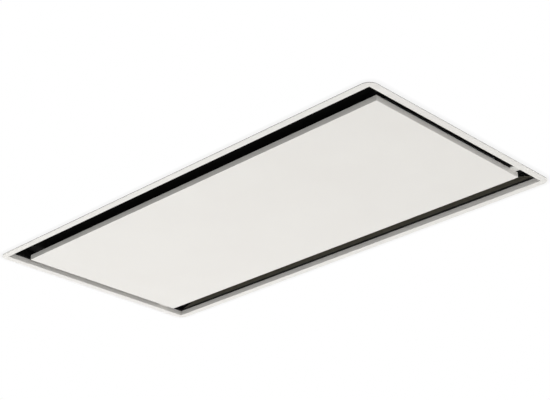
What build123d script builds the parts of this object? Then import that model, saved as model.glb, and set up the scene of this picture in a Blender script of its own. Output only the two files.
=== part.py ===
from build123d import *
import os
from math import acos, cos, degrees, radians, sin

# Ceiling range hood, let into a suspended ceiling. All sizes are in millimetres.
# +X runs along the hood, +Y points at its hinge side and at its duct, and +Z points up.
# The origin is the centre of the ceiling plane, which is the back of the flange.
# Air enters by the gap round the suction panel, passes three grease filters and leaves by a side duct.

# ---------------------------------------------------------------- ceiling frame
flange_length = 1000.0
flange_width = 500.0
flange_rim = 13.8  # visible width of the flange round the opening
flange_corner_r = 18.0
frame_sheet = 1.2
frame_upstand = 9.1  # height of the upstand above the ceiling plane
frame_bend_r = 1.0
paint_edge_r = 0.4  # cut edges rounded by their paint

# ---------------------------------------------------------------- suction panel
end_gap = 20.0  # air gap at each short end
side_gap = 40.8  # air gap along each long side
panel_sheet = 0.8
panel_depth = 10.5
panel_bend_r = 0.7
back_sheet = 0.6
stiffener_sheet = 0.8
stiffener_web = 30.0
stiffener_foot = 12.0
stiffener_spread = 210.0  # between the two stiffeners
stiffener_inset = 25.0  # from each end of the panel

# ---------------------------------------------------------------- hinge of the panel
arm_width = 18.5
arm_sheet = 2.0
arm_seat = 70.0  # length of an arm that lies on the panel
arm_rivet_insets = (21.0, 52.5)  # from the panel's end
hinge_setback = 14.9  # from the panel's rear edge to the pivot
pivot_rise = 3.2  # pivot above the top of the panel
ear_reach = 11.0  # from the panel's end to the arm's ear
pin_r = 2.5
pin_head_r = 4.0
pin_head = 1.5
hinge_play = 0.4  # side play at each end of a bush
running_fit = 0.05  # radial room of a turning pin
bush_wall = 1.5
bush_flange = 1.0
bush_flange_r = 6.5
bush_proud = 0.3
bracket_sheet = 2.0
bracket_width = 26.0
bracket_foot = 12.0
bracket_screw_inset = 4.5  # from the foot's free edge
bracket_screw_spread = 16.0
bracket_drop = 7.0  # bracket below the pivot

# ---------------------------------------------------------------- liner and its filter deck
liner_sheet = 1.0
deck_height = 29.3  # underside of the deck above the ceiling plane
seam = 0.3  # open joint between the liner and the upstand

# ---------------------------------------------------------------- grease filters
filter_count = 3
filter_length = 290.0
filter_width = 300.0
filter_pitch = 305.0
filter_depth = 9.0
filter_drop = 2.0  # how far a filter stands below the deck
filter_bar = 14.0
aperture_room = 1.5  # round each filter
mesh_depth = 6.0
mesh_seat = 4.0  # mesh held in the frame's groove
mesh_foil = 1.2  # upright thickness of the pleated foil
mesh_pleats = 26
tab_width = 40.0
tab_reach = 6.5
tab_sheet = 1.5
tab_spacing = 180.0
latch_length = 40.0
latch_width = 16.0
latch_travel = 6.0
latch_room = 0.3
latch_end_room = 0.5
latch_wall = 3.0  # front wall of the latch pocket
latch_web = 2.0  # rear wall and floor of the latch pocket
latch_roof = 1.5
tongue_width = 30.0
tongue_sheet = 2.4
tongue_reach = 7.0
tongue_root = 1.0  # tongue over the slider's front
finger_length = 26.0
finger_width = 10.0
finger_depth = 2.0

# ---------------------------------------------------------------- magnetic catches
catch_length = 44.0
catch_width = 12.0
catch_foot = 10.0
catch_foot_sheet = 2.0
catch_margin = 4.5  # from the filter aperture
catch_gap = 0.3
striker_overhang = 10.0  # striker beyond each end of a magnet
striker_sheet = 1.5

# ---------------------------------------------------------------- casing
casing_sheet = 1.0
casing_height = 200.0
casing_lift = 3.0  # lower edge above the flange's back
casing_flange = 14.0
top_sheet = 1.2
bead_width = 18.0
bead_rise = 3.0
bead_spread = 175.0
outer_bead_length = 740.0
middle_bead_length = 480.0
long_screw_count = 6
short_screw_count = 3
long_screw_margin = 36.0  # from the end of a long wall to its first screw
short_screw_margin = 53.0

# ---------------------------------------------------------------- hanging brackets, for M8 rods
rod_inset = 38.4  # from the casing's outer faces
rod_hole_r = 4.5
hanger_sheet = 2.5
hanger_tab = 36.0
hanger_foot = 32.0
hanger_rise = 22.0

# ---------------------------------------------------------------- blower
blower_floor = 66.0
blower_y = -30.0
blower_sheet = 1.2
blower_height = 98.0  # inside
blower_rim = 8.0
scroll_gap = 7.0  # impeller to the start of the scroll
scroll_step = 28.0  # growth of the scroll's radius in each quarter
outlet_inner = 80.0  # inner outlet wall from the impeller's axis
outlet_end = 190.0  # end of the scroll's outlet from the impeller's axis
inlet_gap = 6.0  # inlet ring to the impeller's eye, all round
inlet_rise = 14.0
inlet_flare = 7.0  # inlet ring's growth down to the hole in the base plate
inlet_rim = 11.0  # inlet ring's flange beyond that hole
inlet_bulge = 1.85  # rise of the bell-mouth's curve over its chord
impeller_r = 115.0
blade_depth = 23.0  # from the eye to the impeller's edge
impeller_sheet = 2.0
impeller_floor_gap = 6.0
blade_count = 36
blade_sheet = 1.2
blade_mid_lean = 2.9  # degrees that a blade's middle leans from its root
blade_tip_lean = 10.8
blade_bite = 0.5  # a blade's end in the plate that holds it
hub_r = 13.0
hub_height = 26.0
vent_r = 8.0
vent_count = 6
vent_circle_r = 62.0

# ---------------------------------------------------------------- motor
motor_r = 48.0
motor_below = 12.0  # part of the motor below the blower cover
motor_above = 24.0
motor_flange_r = 59.0
motor_flange_sheet = 2.5
motor_fins = 4
motor_groove = 2.0
motor_gap = 4.4  # motor to the impeller's back plate
shaft_r = 4.0
shaft_below_nut = 3.0
bearing_r = 11.0
bearing_length = 7.0
rotor_r = 26.0
rotor_room = 0.6
nut_height = 6.5
nut_flats = 13.0

# ---------------------------------------------------------------- blower mounting
mount_circle_r = 140.0
isolator_r = 12.0
isolator_height = 15.0
standoff_r = 7.0
bolt_r = 3.0
bolt_flats = 10.0
bolt_head_height = 4.0
bolt_nut_height = 5.0
bolt_past_nut = 1.5

# ---------------------------------------------------------------- duct, for a 150 mm pipe
spigot_r = 74.5
spigot_sheet = 1.0
spigot_length = 60.0
spigot_flange = 8.5
spigot_flange_sheet = 1.2
flap_setback = 12.0
flap_room = 1.2
flap_sheet = 1.0
flap_pin_r = 2.0
flap_pin_inset = 0.3  # pin ends below the collar's surface
knuckle_r = 3.4
knuckle_gap = 1.0
knuckle_count = 4
stop_length = 5.0
stop_width = 8.0
stop_sheet = 1.5
stop_gap = 0.3

# ---------------------------------------------------------------- control box and what is in it
box_length = 180.0
box_width = 120.0
box_depth = 45.0
box_end_gap = 17.4  # from the casing's end wall
box_sheet = 1.0
post_size = 9.0
terminal_bay = 60.0  # length of the box beyond the board
board_width = 94.0
board_sheet = 1.6
board_drop = 8.0
board_end_gap = 4.0
board_post_r = 3.0
board_post_inset = 6.0
transformer = (36.0, 34.0, 24.0)
relay = (13.0, 20.0, 15.0)
relay_pitch = 16.0
smoother_r = 7.0
smoother_height = 20.0
smoother_count = 3
smoother_pitch = 18.0
part_margin = 8.0  # board parts from the board's edges
terminal_gap = 2.0
terminal_hole_r = 2.2
terminal_hole_depth = 5.0
terminal_length = 62.0
terminal_spread = 50.0  # between the outer ways
terminal_width = 18.0
terminal_height = 16.0
terminal_ways = 5
gland_inset = 15.0  # gland's axis from the box's outer end
gland_r = 8.0
gland_bore_r = 5.0
gland_flats = 19.0
gland_hex = 5.0
gland_dome_r = 9.0
gland_dome_height = 16.0
gland_dome_edge_r = 3.0
gland_locknut = 4.0
gland_thread_below = 6.0

# ---------------------------------------------------------------- run capacitor and motor lead
capacitor_r = 17.0
capacitor_length = 70.0
capacitor_x = 190.0
capacitor_y = -110.0
capacitor_stub_r = 4.0
capacitor_stub = 6.0
clip_sheet = 1.2
clip_width = 20.0
clip_ear = 14.0
lead_r = 3.5
lead_drop = 18.0  # lead's centre below the casing's top
lead_bend_r = 40.0
lead_points = ((-55.0, -30.0), (45.0, 32.0), (185.0, 32.0), (240.0, -8.0))
lead_clip_x = (85.0, 150.0)
lead_clip_width = 12.0

# ---------------------------------------------------------------- screws
spigot_screw_r = 1.6
spigot_screw_length = 5.2
spigot_head_r = 3.0
spigot_head = 2.0
screw_r = 2.0
screw_head_r = 4.0
screw_head = 2.4
screw_length = 8.0
deck_screw_length = 6.0
screw_end = 2.0  # screw past the last sheet
rivet_r = 1.6
rivet_head_r = 3.2
rivet_head = 1.0
rivet_dome_r = 0.8
rivet_length = 3.0

# ---------------------------------------------------------------- sizes that follow
opening_length = flange_length - 2 * flange_rim
opening_width = flange_width - 2 * flange_rim
casing_in_x = opening_length / 2 + frame_sheet
casing_in_y = opening_width / 2 + frame_sheet
casing_out_x = casing_in_x + casing_sheet
casing_out_y = casing_in_y + casing_sheet
casing_top_z = casing_height + top_sheet
rod_spacing_x = 2 * (casing_out_x - rod_inset)
rod_spacing_y = 2 * (casing_out_y - rod_inset)

face_z = -frame_sheet
panel_x = opening_length / 2 - end_gap
panel_y = opening_width / 2 - side_gap
panel_top = face_z + panel_depth

hinge_y = panel_y - hinge_setback
pivot_z = panel_top + pivot_rise
ear_x = panel_x + ear_reach
bush_x = ear_x + arm_sheet + hinge_play
bracket_x = bush_x + bush_flange
bush_end_x = bracket_x + bracket_sheet + bush_proud
pin_end_x = bush_end_x + hinge_play + pin_head

deck_top = deck_height + liner_sheet
filter_z = deck_height - filter_drop
aperture_x = filter_length / 2 + aperture_room
aperture_y = filter_width / 2 + aperture_room
pocket_length = latch_end_room + latch_width + latch_travel + latch_end_room
filter_front_bar = latch_wall + pocket_length + latch_web + mesh_seat
catch_y = -(aperture_y + catch_margin + catch_width / 2)
catch_x = filter_pitch / 2

impeller_eye_r = impeller_r - blade_depth
inlet_r = impeller_eye_r - inlet_gap
inlet_hole_r = inlet_r + inlet_flare
inlet_flange_r = inlet_hole_r + inlet_rim
scroll_start_r = impeller_r + scroll_gap
outlet_outer = scroll_start_r + 3.5 * scroll_step
outlet_width = outlet_outer - outlet_inner
spigot_x = 0.0
blower_x = spigot_x - (outlet_inner + outlet_outer) / 2
scroll_z = blower_floor + blower_sheet
cover_z = scroll_z + blower_height
cover_top = cover_z + blower_sheet
mouth_y = blower_y + outlet_end
motor_z = cover_top - motor_below
motor_top = cover_top + motor_above
impeller_z = scroll_z + impeller_floor_gap
impeller_top = motor_z - motor_gap
hub_z = impeller_top - hub_height
shaft_z = hub_z - nut_height - shaft_below_nut
standoff_z = cover_top + isolator_height

spigot_z = scroll_z + blower_height / 2
spigot_bore_r = spigot_r - spigot_sheet
spigot_y = casing_out_y + spigot_flange_sheet
flap_y = spigot_y + flap_setback
flap_r = spigot_bore_r - flap_room

box_x = casing_in_x - box_end_gap - box_length / 2
box_end_x = box_x + box_length / 2
gland_x = box_end_x - gland_inset
box_z = casing_height - box_depth
board_z = casing_height - box_sheet - board_drop
board_length = box_length - terminal_bay
board_x = box_x - box_length / 2 + box_sheet + board_end_gap + board_length / 2
relay_row = board_length - 2.5 * part_margin - transformer[0]
relay_count = int(relay_row // relay_pitch)
lead_z = casing_height - lead_drop

filter_xs = [filter_pitch * (i - (filter_count - 1) / 2) for i in range(filter_count)]
blower_mounts = [
    (blower_x + mount_circle_r * cos(radians(a)), blower_y + mount_circle_r * sin(radians(a)))
    for a in (45, 135, 225, 315)
]
hanger_feet = [
    (sx * (rod_spacing_x / 2 - hanger_tab / 2 - hanger_foot / 2), sy * rod_spacing_y / 2 + dy)
    for sx in (-1, 1)
    for sy in (-1, 1)
    for dy in (-hanger_tab / 4, hanger_tab / 4)
]


# ---------------------------------------------------------------- small shapes
def block(x0, x1, y0, y1, z0, z1):
    """A box between two corners."""
    centre = Pos((x0 + x1) / 2, (y0 + y1) / 2, (z0 + z1) / 2)
    return centre * Box(abs(x1 - x0), abs(y1 - y0), abs(z1 - z0))


def rod(x, y, z0, z1, r):
    """An upright cylinder between two heights."""
    return Pos(x, y, (z0 + z1) / 2) * Cylinder(r, abs(z1 - z0))


def rod_x(x0, x1, y, z, r):
    """A cylinder along X."""
    return Pos((x0 + x1) / 2, y, z) * Rot(0, 90, 0) * Cylinder(r, abs(x1 - x0))


def rod_y(x, y0, y1, z, r):
    """A cylinder along Y."""
    return Pos(x, (y0 + y1) / 2, z) * Rot(90, 0, 0) * Cylinder(r, abs(y1 - y0))


def hexagon(x, y, z0, z1, flats):
    """An upright hexagonal prism, sized across its flats."""
    outline = RegularPolygon(flats / 2, 6, major_radius=False)
    return Pos(x, y, z0) * extrude(outline, z1 - z0)


def spaced(count, span):
    """Evenly spaced places over a span that is centred on zero."""
    return [span * (i / (count - 1) - 0.5) for i in range(count)]


def flat_edges(shape, z):
    """The edges of a shape that lie flat at one height."""
    return [e for e in shape.edges() if all(abs((e @ t).Z - z) < 1e-4 for t in (0, 0.5, 1))]


def screw_down(x, y, seat_z, length=screw_length):
    """A pan-head screw, its head on a seat and its shank going down."""
    head = rod(x, y, seat_z, seat_z + screw_head, screw_head_r)
    head = fillet(flat_edges(head, seat_z + screw_head), screw_head / 2)
    return head + rod(x, y, seat_z - length, seat_z, screw_r)


def screw_up(x, y, seat_z, length=screw_length):
    """A pan-head screw, its head under a seat and its shank going up."""
    head = rod(x, y, seat_z - screw_head, seat_z, screw_head_r)
    head = fillet(flat_edges(head, seat_z - screw_head), screw_head / 2)
    return head + rod(x, y, seat_z, seat_z + length, screw_r)


def rivet_down(x, y, seat_z):
    """A blind rivet, its domed head on a seat."""
    head = rod(x, y, seat_z, seat_z + rivet_head, rivet_head_r)
    head = fillet(flat_edges(head, seat_z + rivet_head), rivet_dome_r)
    return head + rod(x, y, seat_z - rivet_length, seat_z, rivet_r)


# ---------------------------------------------------------------- ceiling frame
def make_ceiling_frame():
    """Flange under the ceiling, with an upstand round the opening."""
    outline = RectangleRounded(flange_length, flange_width, flange_corner_r)
    opening = Rectangle(opening_length, opening_width)
    collar = Rectangle(2 * casing_in_x, 2 * casing_in_y)
    flange = Pos(0, 0, face_z) * extrude(outline - opening, frame_sheet)
    frame = flange + extrude(collar - opening, frame_upstand)
    lower = flat_edges(frame, face_z)
    mid_x, mid_y = (opening_length / 2 + casing_in_x) / 2, (opening_width / 2 + casing_in_y) / 2
    fold = [e for e in lower if abs((e @ 0.5).X) < mid_x and abs((e @ 0.5).Y) < mid_y]
    frame = fillet(fold, frame_bend_r)
    lower = flat_edges(frame, face_z)
    rim = [e for e in lower if abs((e @ 0.5).X) > casing_in_x or abs((e @ 0.5).Y) > casing_in_y]
    return fillet(rim, paint_edge_r)


# ---------------------------------------------------------------- suction panel
def make_panel_tray():
    """Folded tray, open upwards, with its face flush with the flange."""
    shell = block(-panel_x, panel_x, -panel_y, panel_y, face_z, panel_top)
    inner_x, inner_y = panel_x - panel_sheet, panel_y - panel_sheet
    tray = shell - block(-inner_x, inner_x, -inner_y, inner_y, face_z + panel_sheet, panel_top)
    return fillet(flat_edges(tray, face_z), panel_bend_r)


def make_panel_back_plate():
    """Plate that closes the tray, flush with its folded edges."""
    inner_x, inner_y = panel_x - panel_sheet, panel_y - panel_sheet
    plate = block(-inner_x, inner_x, -inner_y, inner_y, panel_top - back_sheet, panel_top)
    for x, y in panel_rivets():
        plate -= rod(x, y, panel_top - back_sheet, panel_top, rivet_r)
    return plate


def make_stiffener(y):
    """Hat section between the tray and its back plate."""
    z0, z1 = face_z + panel_sheet, panel_top - back_sheet
    x = panel_x - stiffener_inset
    half = stiffener_web / 2
    hat = block(-x, x, y - half, y + half, z0, z1)
    hat -= block(-x, x, y - half + stiffener_sheet, y + half - stiffener_sheet, z0, z1 - stiffener_sheet)
    for side in (-1, 1):
        hat += block(-x, x, y + side * half, y + side * (half + stiffener_foot), z0, z0 + stiffener_sheet)
    return hat


def panel_rivets():
    """Where the arms and the strikers are riveted to the back plate."""
    arms = [(sx * (panel_x - inset), hinge_y) for sx in (-1, 1) for inset in arm_rivet_insets]
    reach = catch_length / 2 + striker_overhang / 2
    strikers = [(sx * catch_x + dx, catch_y) for sx in (-1, 1) for dx in (-reach, reach)]
    return arms + strikers


def make_hinge_arm(side):
    """Flat arm on the panel's back, with an upright ear round the pivot."""
    half = arm_width / 2
    x0, x1 = side * ear_x, side * (ear_x + arm_sheet)
    y0, y1 = hinge_y - half, hinge_y + half
    tongue = block(side * (panel_x - arm_seat), x1, y0, y1, panel_top, panel_top + arm_sheet)
    ear = block(x0, x1, y0, y1, panel_top, pivot_z)
    disc = rod_x(x0, x1, hinge_y, pivot_z, half)
    below = block(x0, x1, y0, y1, pivot_z - half, pivot_z)
    arm = tongue + ear + (disc - below)
    arm -= rod_x(x0, x1, hinge_y, pivot_z, pin_r)
    for x, y in panel_rivets():
        arm -= rod(x, y, panel_top, panel_top + arm_sheet, rivet_r)
    return arm


def make_hinge_pin(side):
    """Pin riveted into an arm's ear, with a head outside the bush."""
    pin = rod_x(side * ear_x, side * pin_end_x, hinge_y, pivot_z, pin_r)
    return pin + rod_x(side * (pin_end_x - pin_head), side * pin_end_x, hinge_y, pivot_z, pin_head_r)


def make_hinge_bush(side):
    """Flanged bush in a bracket, in which the pin turns."""
    bush = rod_x(side * bush_x, side * bush_end_x, hinge_y, pivot_z, pin_r + running_fit + bush_wall)
    bush += rod_x(side * bush_x, side * bracket_x, hinge_y, pivot_z, bush_flange_r)
    return bush - rod_x(side * bush_x, side * bush_end_x, hinge_y, pivot_z, pin_r + running_fit)


def bracket_screws(side):
    """Where a hinge bracket is screwed to the deck."""
    x = side * (bracket_x + bracket_sheet - bracket_foot + bracket_screw_inset)
    return [(x, hinge_y + dy) for dy in (-bracket_screw_spread / 2, bracket_screw_spread / 2)]


def make_hinge_bracket(side):
    """Angle bracket that hangs from the deck and holds a bush."""
    half = bracket_width / 2
    outer = bracket_x + bracket_sheet
    y0, y1 = hinge_y - half, hinge_y + half
    foot_z = deck_height - bracket_sheet
    plate = block(side * bracket_x, side * outer, y0, y1, pivot_z - bracket_drop, deck_height)
    foot = block(side * (outer - bracket_foot), side * outer, y0, y1, foot_z, deck_height)
    bracket = plate + foot
    bracket -= rod_x(side * bracket_x, side * outer, hinge_y, pivot_z, pin_r + running_fit + bush_wall)
    for x, y in bracket_screws(side):
        bracket -= rod(x, y, foot_z, deck_height, screw_r)
    return bracket


# ---------------------------------------------------------------- catches
def catch_screws():
    """Where the catches are screwed to the deck."""
    reach = catch_length / 2 + catch_foot / 2
    return [(sx * catch_x + dx, catch_y) for sx in (-1, 1) for dx in (-reach, reach)]


def make_magnet_catch(side):
    """Magnet housing that hangs from the deck, with a foot at each end."""
    x, half = side * catch_x, catch_length / 2
    y0, y1 = catch_y - catch_width / 2, catch_y + catch_width / 2
    housing = block(x - half, x + half, y0, y1, panel_top + striker_sheet + catch_gap, deck_height)
    reach, foot_z = half + catch_foot, deck_height - catch_foot_sheet
    feet = block(x - reach, x + reach, y0, y1, foot_z, deck_height)
    catch = housing + feet
    for sx, sy in catch_screws():
        catch -= rod(sx, sy, foot_z, deck_height, screw_r)
    return catch


def make_striker(side):
    """Steel plate on the panel's back, under a magnet."""
    x, half = side * catch_x, catch_length / 2 + striker_overhang
    plate = block(x - half, x + half, catch_y - catch_width / 2, catch_y + catch_width / 2,
                  panel_top, panel_top + striker_sheet)
    for px, py in panel_rivets():
        plate -= rod(px, py, panel_top, panel_top + striker_sheet, rivet_r)
    return plate


# ---------------------------------------------------------------- liner
def make_filter_deck():
    """Black liner: skirt walls above the upstand, and a deck with one aperture for each filter."""
    skirt_z = frame_upstand + seam
    shell = block(-casing_in_x, casing_in_x, -casing_in_y, casing_in_y, skirt_z, deck_top)
    inner_x, inner_y = casing_in_x - liner_sheet, casing_in_y - liner_sheet
    deck = shell - block(-inner_x, inner_x, -inner_y, inner_y, skirt_z, deck_height)
    for x in filter_xs:
        deck -= block(x - aperture_x, x + aperture_x, -aperture_y, aperture_y, deck_height, deck_top)
    for place in bracket_screws(-1) + bracket_screws(1) + catch_screws():
        deck -= rod(*place, deck_height, deck_top, screw_r)
    return deck


# ---------------------------------------------------------------- grease filters
def make_filter_frame(x):
    """Aluminium frame with a groove for the mesh, two rear tabs and a pocket for the latch."""
    hx, hy = filter_length / 2, filter_width / 2
    z0, z1 = filter_z, filter_z + filter_depth
    mesh_x0, mesh_x1, mesh_y0, mesh_y1 = mesh_window(x)
    frame = block(x - hx, x + hx, -hy, hy, z0, z1)
    frame -= block(mesh_x0, mesh_x1, mesh_y0, mesh_y1, z0, z1)
    frame -= mesh_space(x)
    for tx in (-tab_spacing / 2, tab_spacing / 2):
        frame += block(x + tx - tab_width / 2, x + tx + tab_width / 2, hy - filter_bar / 2, hy + tab_reach,
                       deck_top, deck_top + tab_sheet)
    pocket_y = -hy + latch_wall
    side = latch_length / 2 + latch_end_room
    frame -= block(x - side, x + side, pocket_y, pocket_y + pocket_length, z0 + latch_web, z1 - latch_roof)
    slot = tongue_width / 2 + latch_room
    frame -= block(x - slot, x + slot, -hy, pocket_y, deck_top, deck_top + tongue_sheet + 2 * latch_room)
    finger_y = pocket_y + latch_end_room + latch_web
    frame -= block(x - finger_length / 2, x + finger_length / 2, finger_y,
                   finger_y + finger_width + latch_travel, z0, z0 + latch_web)
    return frame


def mesh_window(x):
    """The clear opening of a filter frame: x0, x1, y0, y1."""
    hx, hy = filter_length / 2 - filter_bar, filter_width / 2
    return x - hx, x + hx, -hy + filter_front_bar, hy - filter_bar


def mesh_space(x):
    """The groove that holds the mesh pack."""
    x0, x1, y0, y1 = mesh_window(x)
    z = filter_z + (filter_depth - mesh_depth) / 2
    return block(x0 - mesh_seat, x1 + mesh_seat, y0 - mesh_seat, y1 + mesh_seat, z, z + mesh_depth)


def make_filter_mesh(x):
    """Pleated foil pack, its folds along X."""
    x0, x1, y0, y1 = mesh_window(x)
    y0, y1 = y0 - mesh_seat, y1 + mesh_seat
    z = filter_z + (filter_depth - mesh_depth) / 2
    crests = [(y0 + (y1 - y0) * i / (2 * mesh_pleats), z + (mesh_depth if i % 2 else mesh_foil))
              for i in range(2 * mesh_pleats + 1)]
    outline = crests + [(y, height - mesh_foil) for y, height in reversed(crests)]
    profile = Plane.YZ * make_face(Polyline(*outline, close=True))
    return Pos(x0 - mesh_seat, 0, 0) * extrude(profile, x1 - x0 + 2 * mesh_seat, dir=(1, 0, 0))


def make_filter_latch(x):
    """Sliding latch: a slider with a finger recess, and a tongue that rests over the deck's edge."""
    front = -filter_width / 2 + latch_wall + latch_end_room
    z0, z1 = filter_z + latch_web + latch_room, filter_z + filter_depth - latch_roof - latch_room
    latch = block(x - latch_length / 2, x + latch_length / 2, front, front + latch_width, z0, z1)
    tongue_z = deck_top + latch_room
    tip = -filter_width / 2 - tongue_reach
    latch += block(x - tongue_width / 2, x + tongue_width / 2, tip, front + tongue_root,
                   tongue_z, tongue_z + tongue_sheet)
    finger_y = front + latch_web
    half = finger_length / 2 - latch_end_room
    latch -= block(x - half, x + half, finger_y, finger_y + finger_width, z0, z0 + finger_depth)
    return latch


# ---------------------------------------------------------------- casing
def casing_screws():
    """Where the top is screwed to the casing's inward flange."""
    x, y = casing_in_x - casing_flange / 2, casing_in_y - casing_flange / 2
    long_span = 2 * (casing_in_x - long_screw_margin)
    short_span = 2 * (casing_in_y - short_screw_margin)
    long_side = [(px, s * y) for s in (-1, 1) for px in spaced(long_screw_count, long_span)]
    short_side = [(s * x, py) for s in (-1, 1) for py in spaced(short_screw_count, short_span)]
    return long_side + short_side


def casing_wall(x0, x1, y0, y1):
    """One folded wall: an upright sheet in the given plan, without its flange."""
    return block(x0, x1, y0, y1, casing_lift, casing_height)


def casing_fold(x0, x1, y0, y1):
    """One wall's inward flange in the given plan, with its share of the top's screw holes."""
    flange = block(x0, x1, y0, y1, casing_height - casing_sheet, casing_height)
    for place in casing_screws():
        flange -= rod(*place, casing_height - casing_sheet, casing_height, screw_r)
    return flange


def make_casing_front():
    """Long wall away from the duct, folded inward at the top."""
    wall = casing_wall(-casing_out_x, casing_out_x, -casing_out_y, -casing_in_y)
    return wall + casing_fold(-casing_in_x, casing_in_x, -casing_in_y, casing_flange - casing_in_y)


def make_casing_rear():
    """Long wall with the duct's round hole, folded inward at the top."""
    wall = casing_wall(-casing_out_x, casing_out_x, casing_in_y, casing_out_y)
    wall += casing_fold(-casing_in_x, casing_in_x, casing_in_y - casing_flange, casing_in_y)
    wall -= rod_y(spigot_x, casing_in_y, casing_out_y, spigot_z, spigot_bore_r)
    for x, z in spigot_screw_places():
        wall -= rod_y(x, casing_in_y, casing_out_y, z, spigot_screw_r)
    return wall


def make_casing_ends():
    """Two short walls between the long ones, one sheet used twice."""
    fold_y = casing_in_y - casing_flange
    wall = casing_wall(casing_in_x, casing_out_x, -casing_in_y, casing_in_y)
    wall += casing_fold(casing_in_x - casing_flange, casing_in_x, -fold_y, fold_y)
    return [wall, Rot(0, 0, 180) * wall]


def make_casing_top():
    """Top sheet with three pressed beads."""
    z0, z1 = casing_height, casing_top_z
    top = block(-casing_out_x, casing_out_x, -casing_out_y, casing_out_y, z0, z1)
    beads = [(-bead_spread, outer_bead_length, 0.0), (bead_spread, outer_bead_length, 0.0),
             (blower_y, middle_bead_length, box_x - box_length / 2 - middle_bead_length / 2 - bead_width)]
    for y, length, x in beads:
        raised = Pos(x, y, z1) * extrude(SlotOverall(length, bead_width), bead_rise)
        hollow = SlotOverall(length - 2 * top_sheet, bead_width - 2 * top_sheet)
        top = top + raised - Pos(x, y, z0) * extrude(hollow, bead_rise)
    for place in casing_screws() + hanger_feet + capacitor_screws() + lead_clip_screws():
        top -= rod(*place, z0, z1, screw_r)
    for place in blower_mounts:
        top -= rod(*place, z0, z1, bolt_r)
    return top - rod(gland_x, 0, z0, z1, gland_r)


def make_hanging_brackets():
    """Four stepped brackets, each with a hole for a threaded rod."""
    brackets = []
    z0, z1 = casing_top_z, casing_top_z + hanger_rise
    half = hanger_tab / 2
    for sx in (-1, 1):
        for sy in (-1, 1):
            x, y = sx * rod_spacing_x / 2, sy * rod_spacing_y / 2
            inner = x - sx * half
            web = inner + sx * hanger_sheet
            bracket = block(inner - sx * hanger_foot, web, y - half, y + half, z0, z0 + hanger_sheet)
            bracket += block(inner, web, y - half, y + half, z0, z1)
            bracket += block(inner, x + sx * half, y - half, y + half, z1 - hanger_sheet, z1)
            bracket -= rod(x, y, z1 - hanger_sheet, z1, rod_hole_r)
            for place in hanger_feet:
                bracket -= rod(*place, z0, z0 + hanger_sheet, screw_r)
            brackets.append(bracket)
    return brackets


# ---------------------------------------------------------------- blower
def scroll_face():
    """The air space of the scroll in plan: four quarter arcs that grow in steps, and the outlet."""
    half = scroll_step / 2
    start = degrees(acos((outlet_inner + half) / scroll_start_r))
    quarter = 90
    arcs = [
        CenterArc((-half, half), scroll_start_r, start, quarter - start),
        CenterArc((-half, -half), scroll_start_r + scroll_step, quarter, quarter),
        CenterArc((half, -half), scroll_start_r + 2 * scroll_step, 2 * quarter, quarter),
        CenterArc((half, half), scroll_start_r + 3 * scroll_step, 3 * quarter, quarter),
    ]
    tongue, outer = arcs[0] @ 0, arcs[3] @ 1
    mouth = [
        Line(outer, (outlet_outer, outlet_end)),
        Line((outlet_outer, outlet_end), (outlet_inner, outlet_end)),
        Line((outlet_inner, outlet_end), tongue),
    ]
    return make_face(arcs + mouth)


def blower_plate(z0, hole_r):
    """Scroll's end plate: the scroll's outline with a rim, open at the mouth."""
    outline = offset(scroll_face(), blower_rim, kind=Kind.INTERSECTION)
    plate = Pos(blower_x, blower_y, z0) * extrude(outline, blower_sheet)
    reach = outlet_outer + blower_rim
    z1 = z0 + blower_sheet
    plate -= block(blower_x - reach, blower_x + reach, mouth_y, mouth_y + 2 * blower_rim, z0, z1)
    return plate - rod(blower_x, blower_y, z0, z1, hole_r)


def make_blower_base():
    """Scroll wall on its base plate, with the inlet hole."""
    space = scroll_face()
    wall = offset(space, blower_sheet, kind=Kind.INTERSECTION) - space
    scroll = Pos(blower_x, blower_y, scroll_z) * extrude(wall, blower_height)
    reach = 2 * outlet_outer
    scroll -= block(blower_x - reach, blower_x + reach, mouth_y, mouth_y + 2 * blower_rim, scroll_z, cover_z)
    return blower_plate(blower_floor, inlet_hole_r) + scroll


def make_blower_cover():
    """Upper end plate, which carries the motor."""
    cover = blower_plate(cover_z, motor_r + running_fit)
    for place in blower_mounts:
        cover -= rod(*place, cover_z, cover_top, bolt_r)
    for place in motor_screw_places():
        cover -= rod(*place, cover_z, cover_top, screw_r)
    return cover


def make_inlet_ring():
    """Bell-mouth under the base plate, reaching into the impeller's eye."""
    z0, z1 = blower_floor - blower_sheet, blower_floor + inlet_rise
    lip = inlet_r - blower_sheet
    throat = inlet_hole_r - running_fit
    profile = [
        Line((lip, z1), (inlet_r, z1)),
        SagittaArc((inlet_r, z1), (throat, blower_floor), -inlet_bulge),
        Line((throat, blower_floor), (inlet_flange_r, blower_floor)),
        Line((inlet_flange_r, blower_floor), (inlet_flange_r, z0)),
        Line((inlet_flange_r, z0), (throat - blower_sheet, z0)),
        SagittaArc((throat - blower_sheet, z0), (lip, z1), inlet_bulge),
    ]
    face = Plane.XZ * make_face(profile)
    return Pos(blower_x, blower_y, 0) * revolve(face, Axis.Z)


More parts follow.
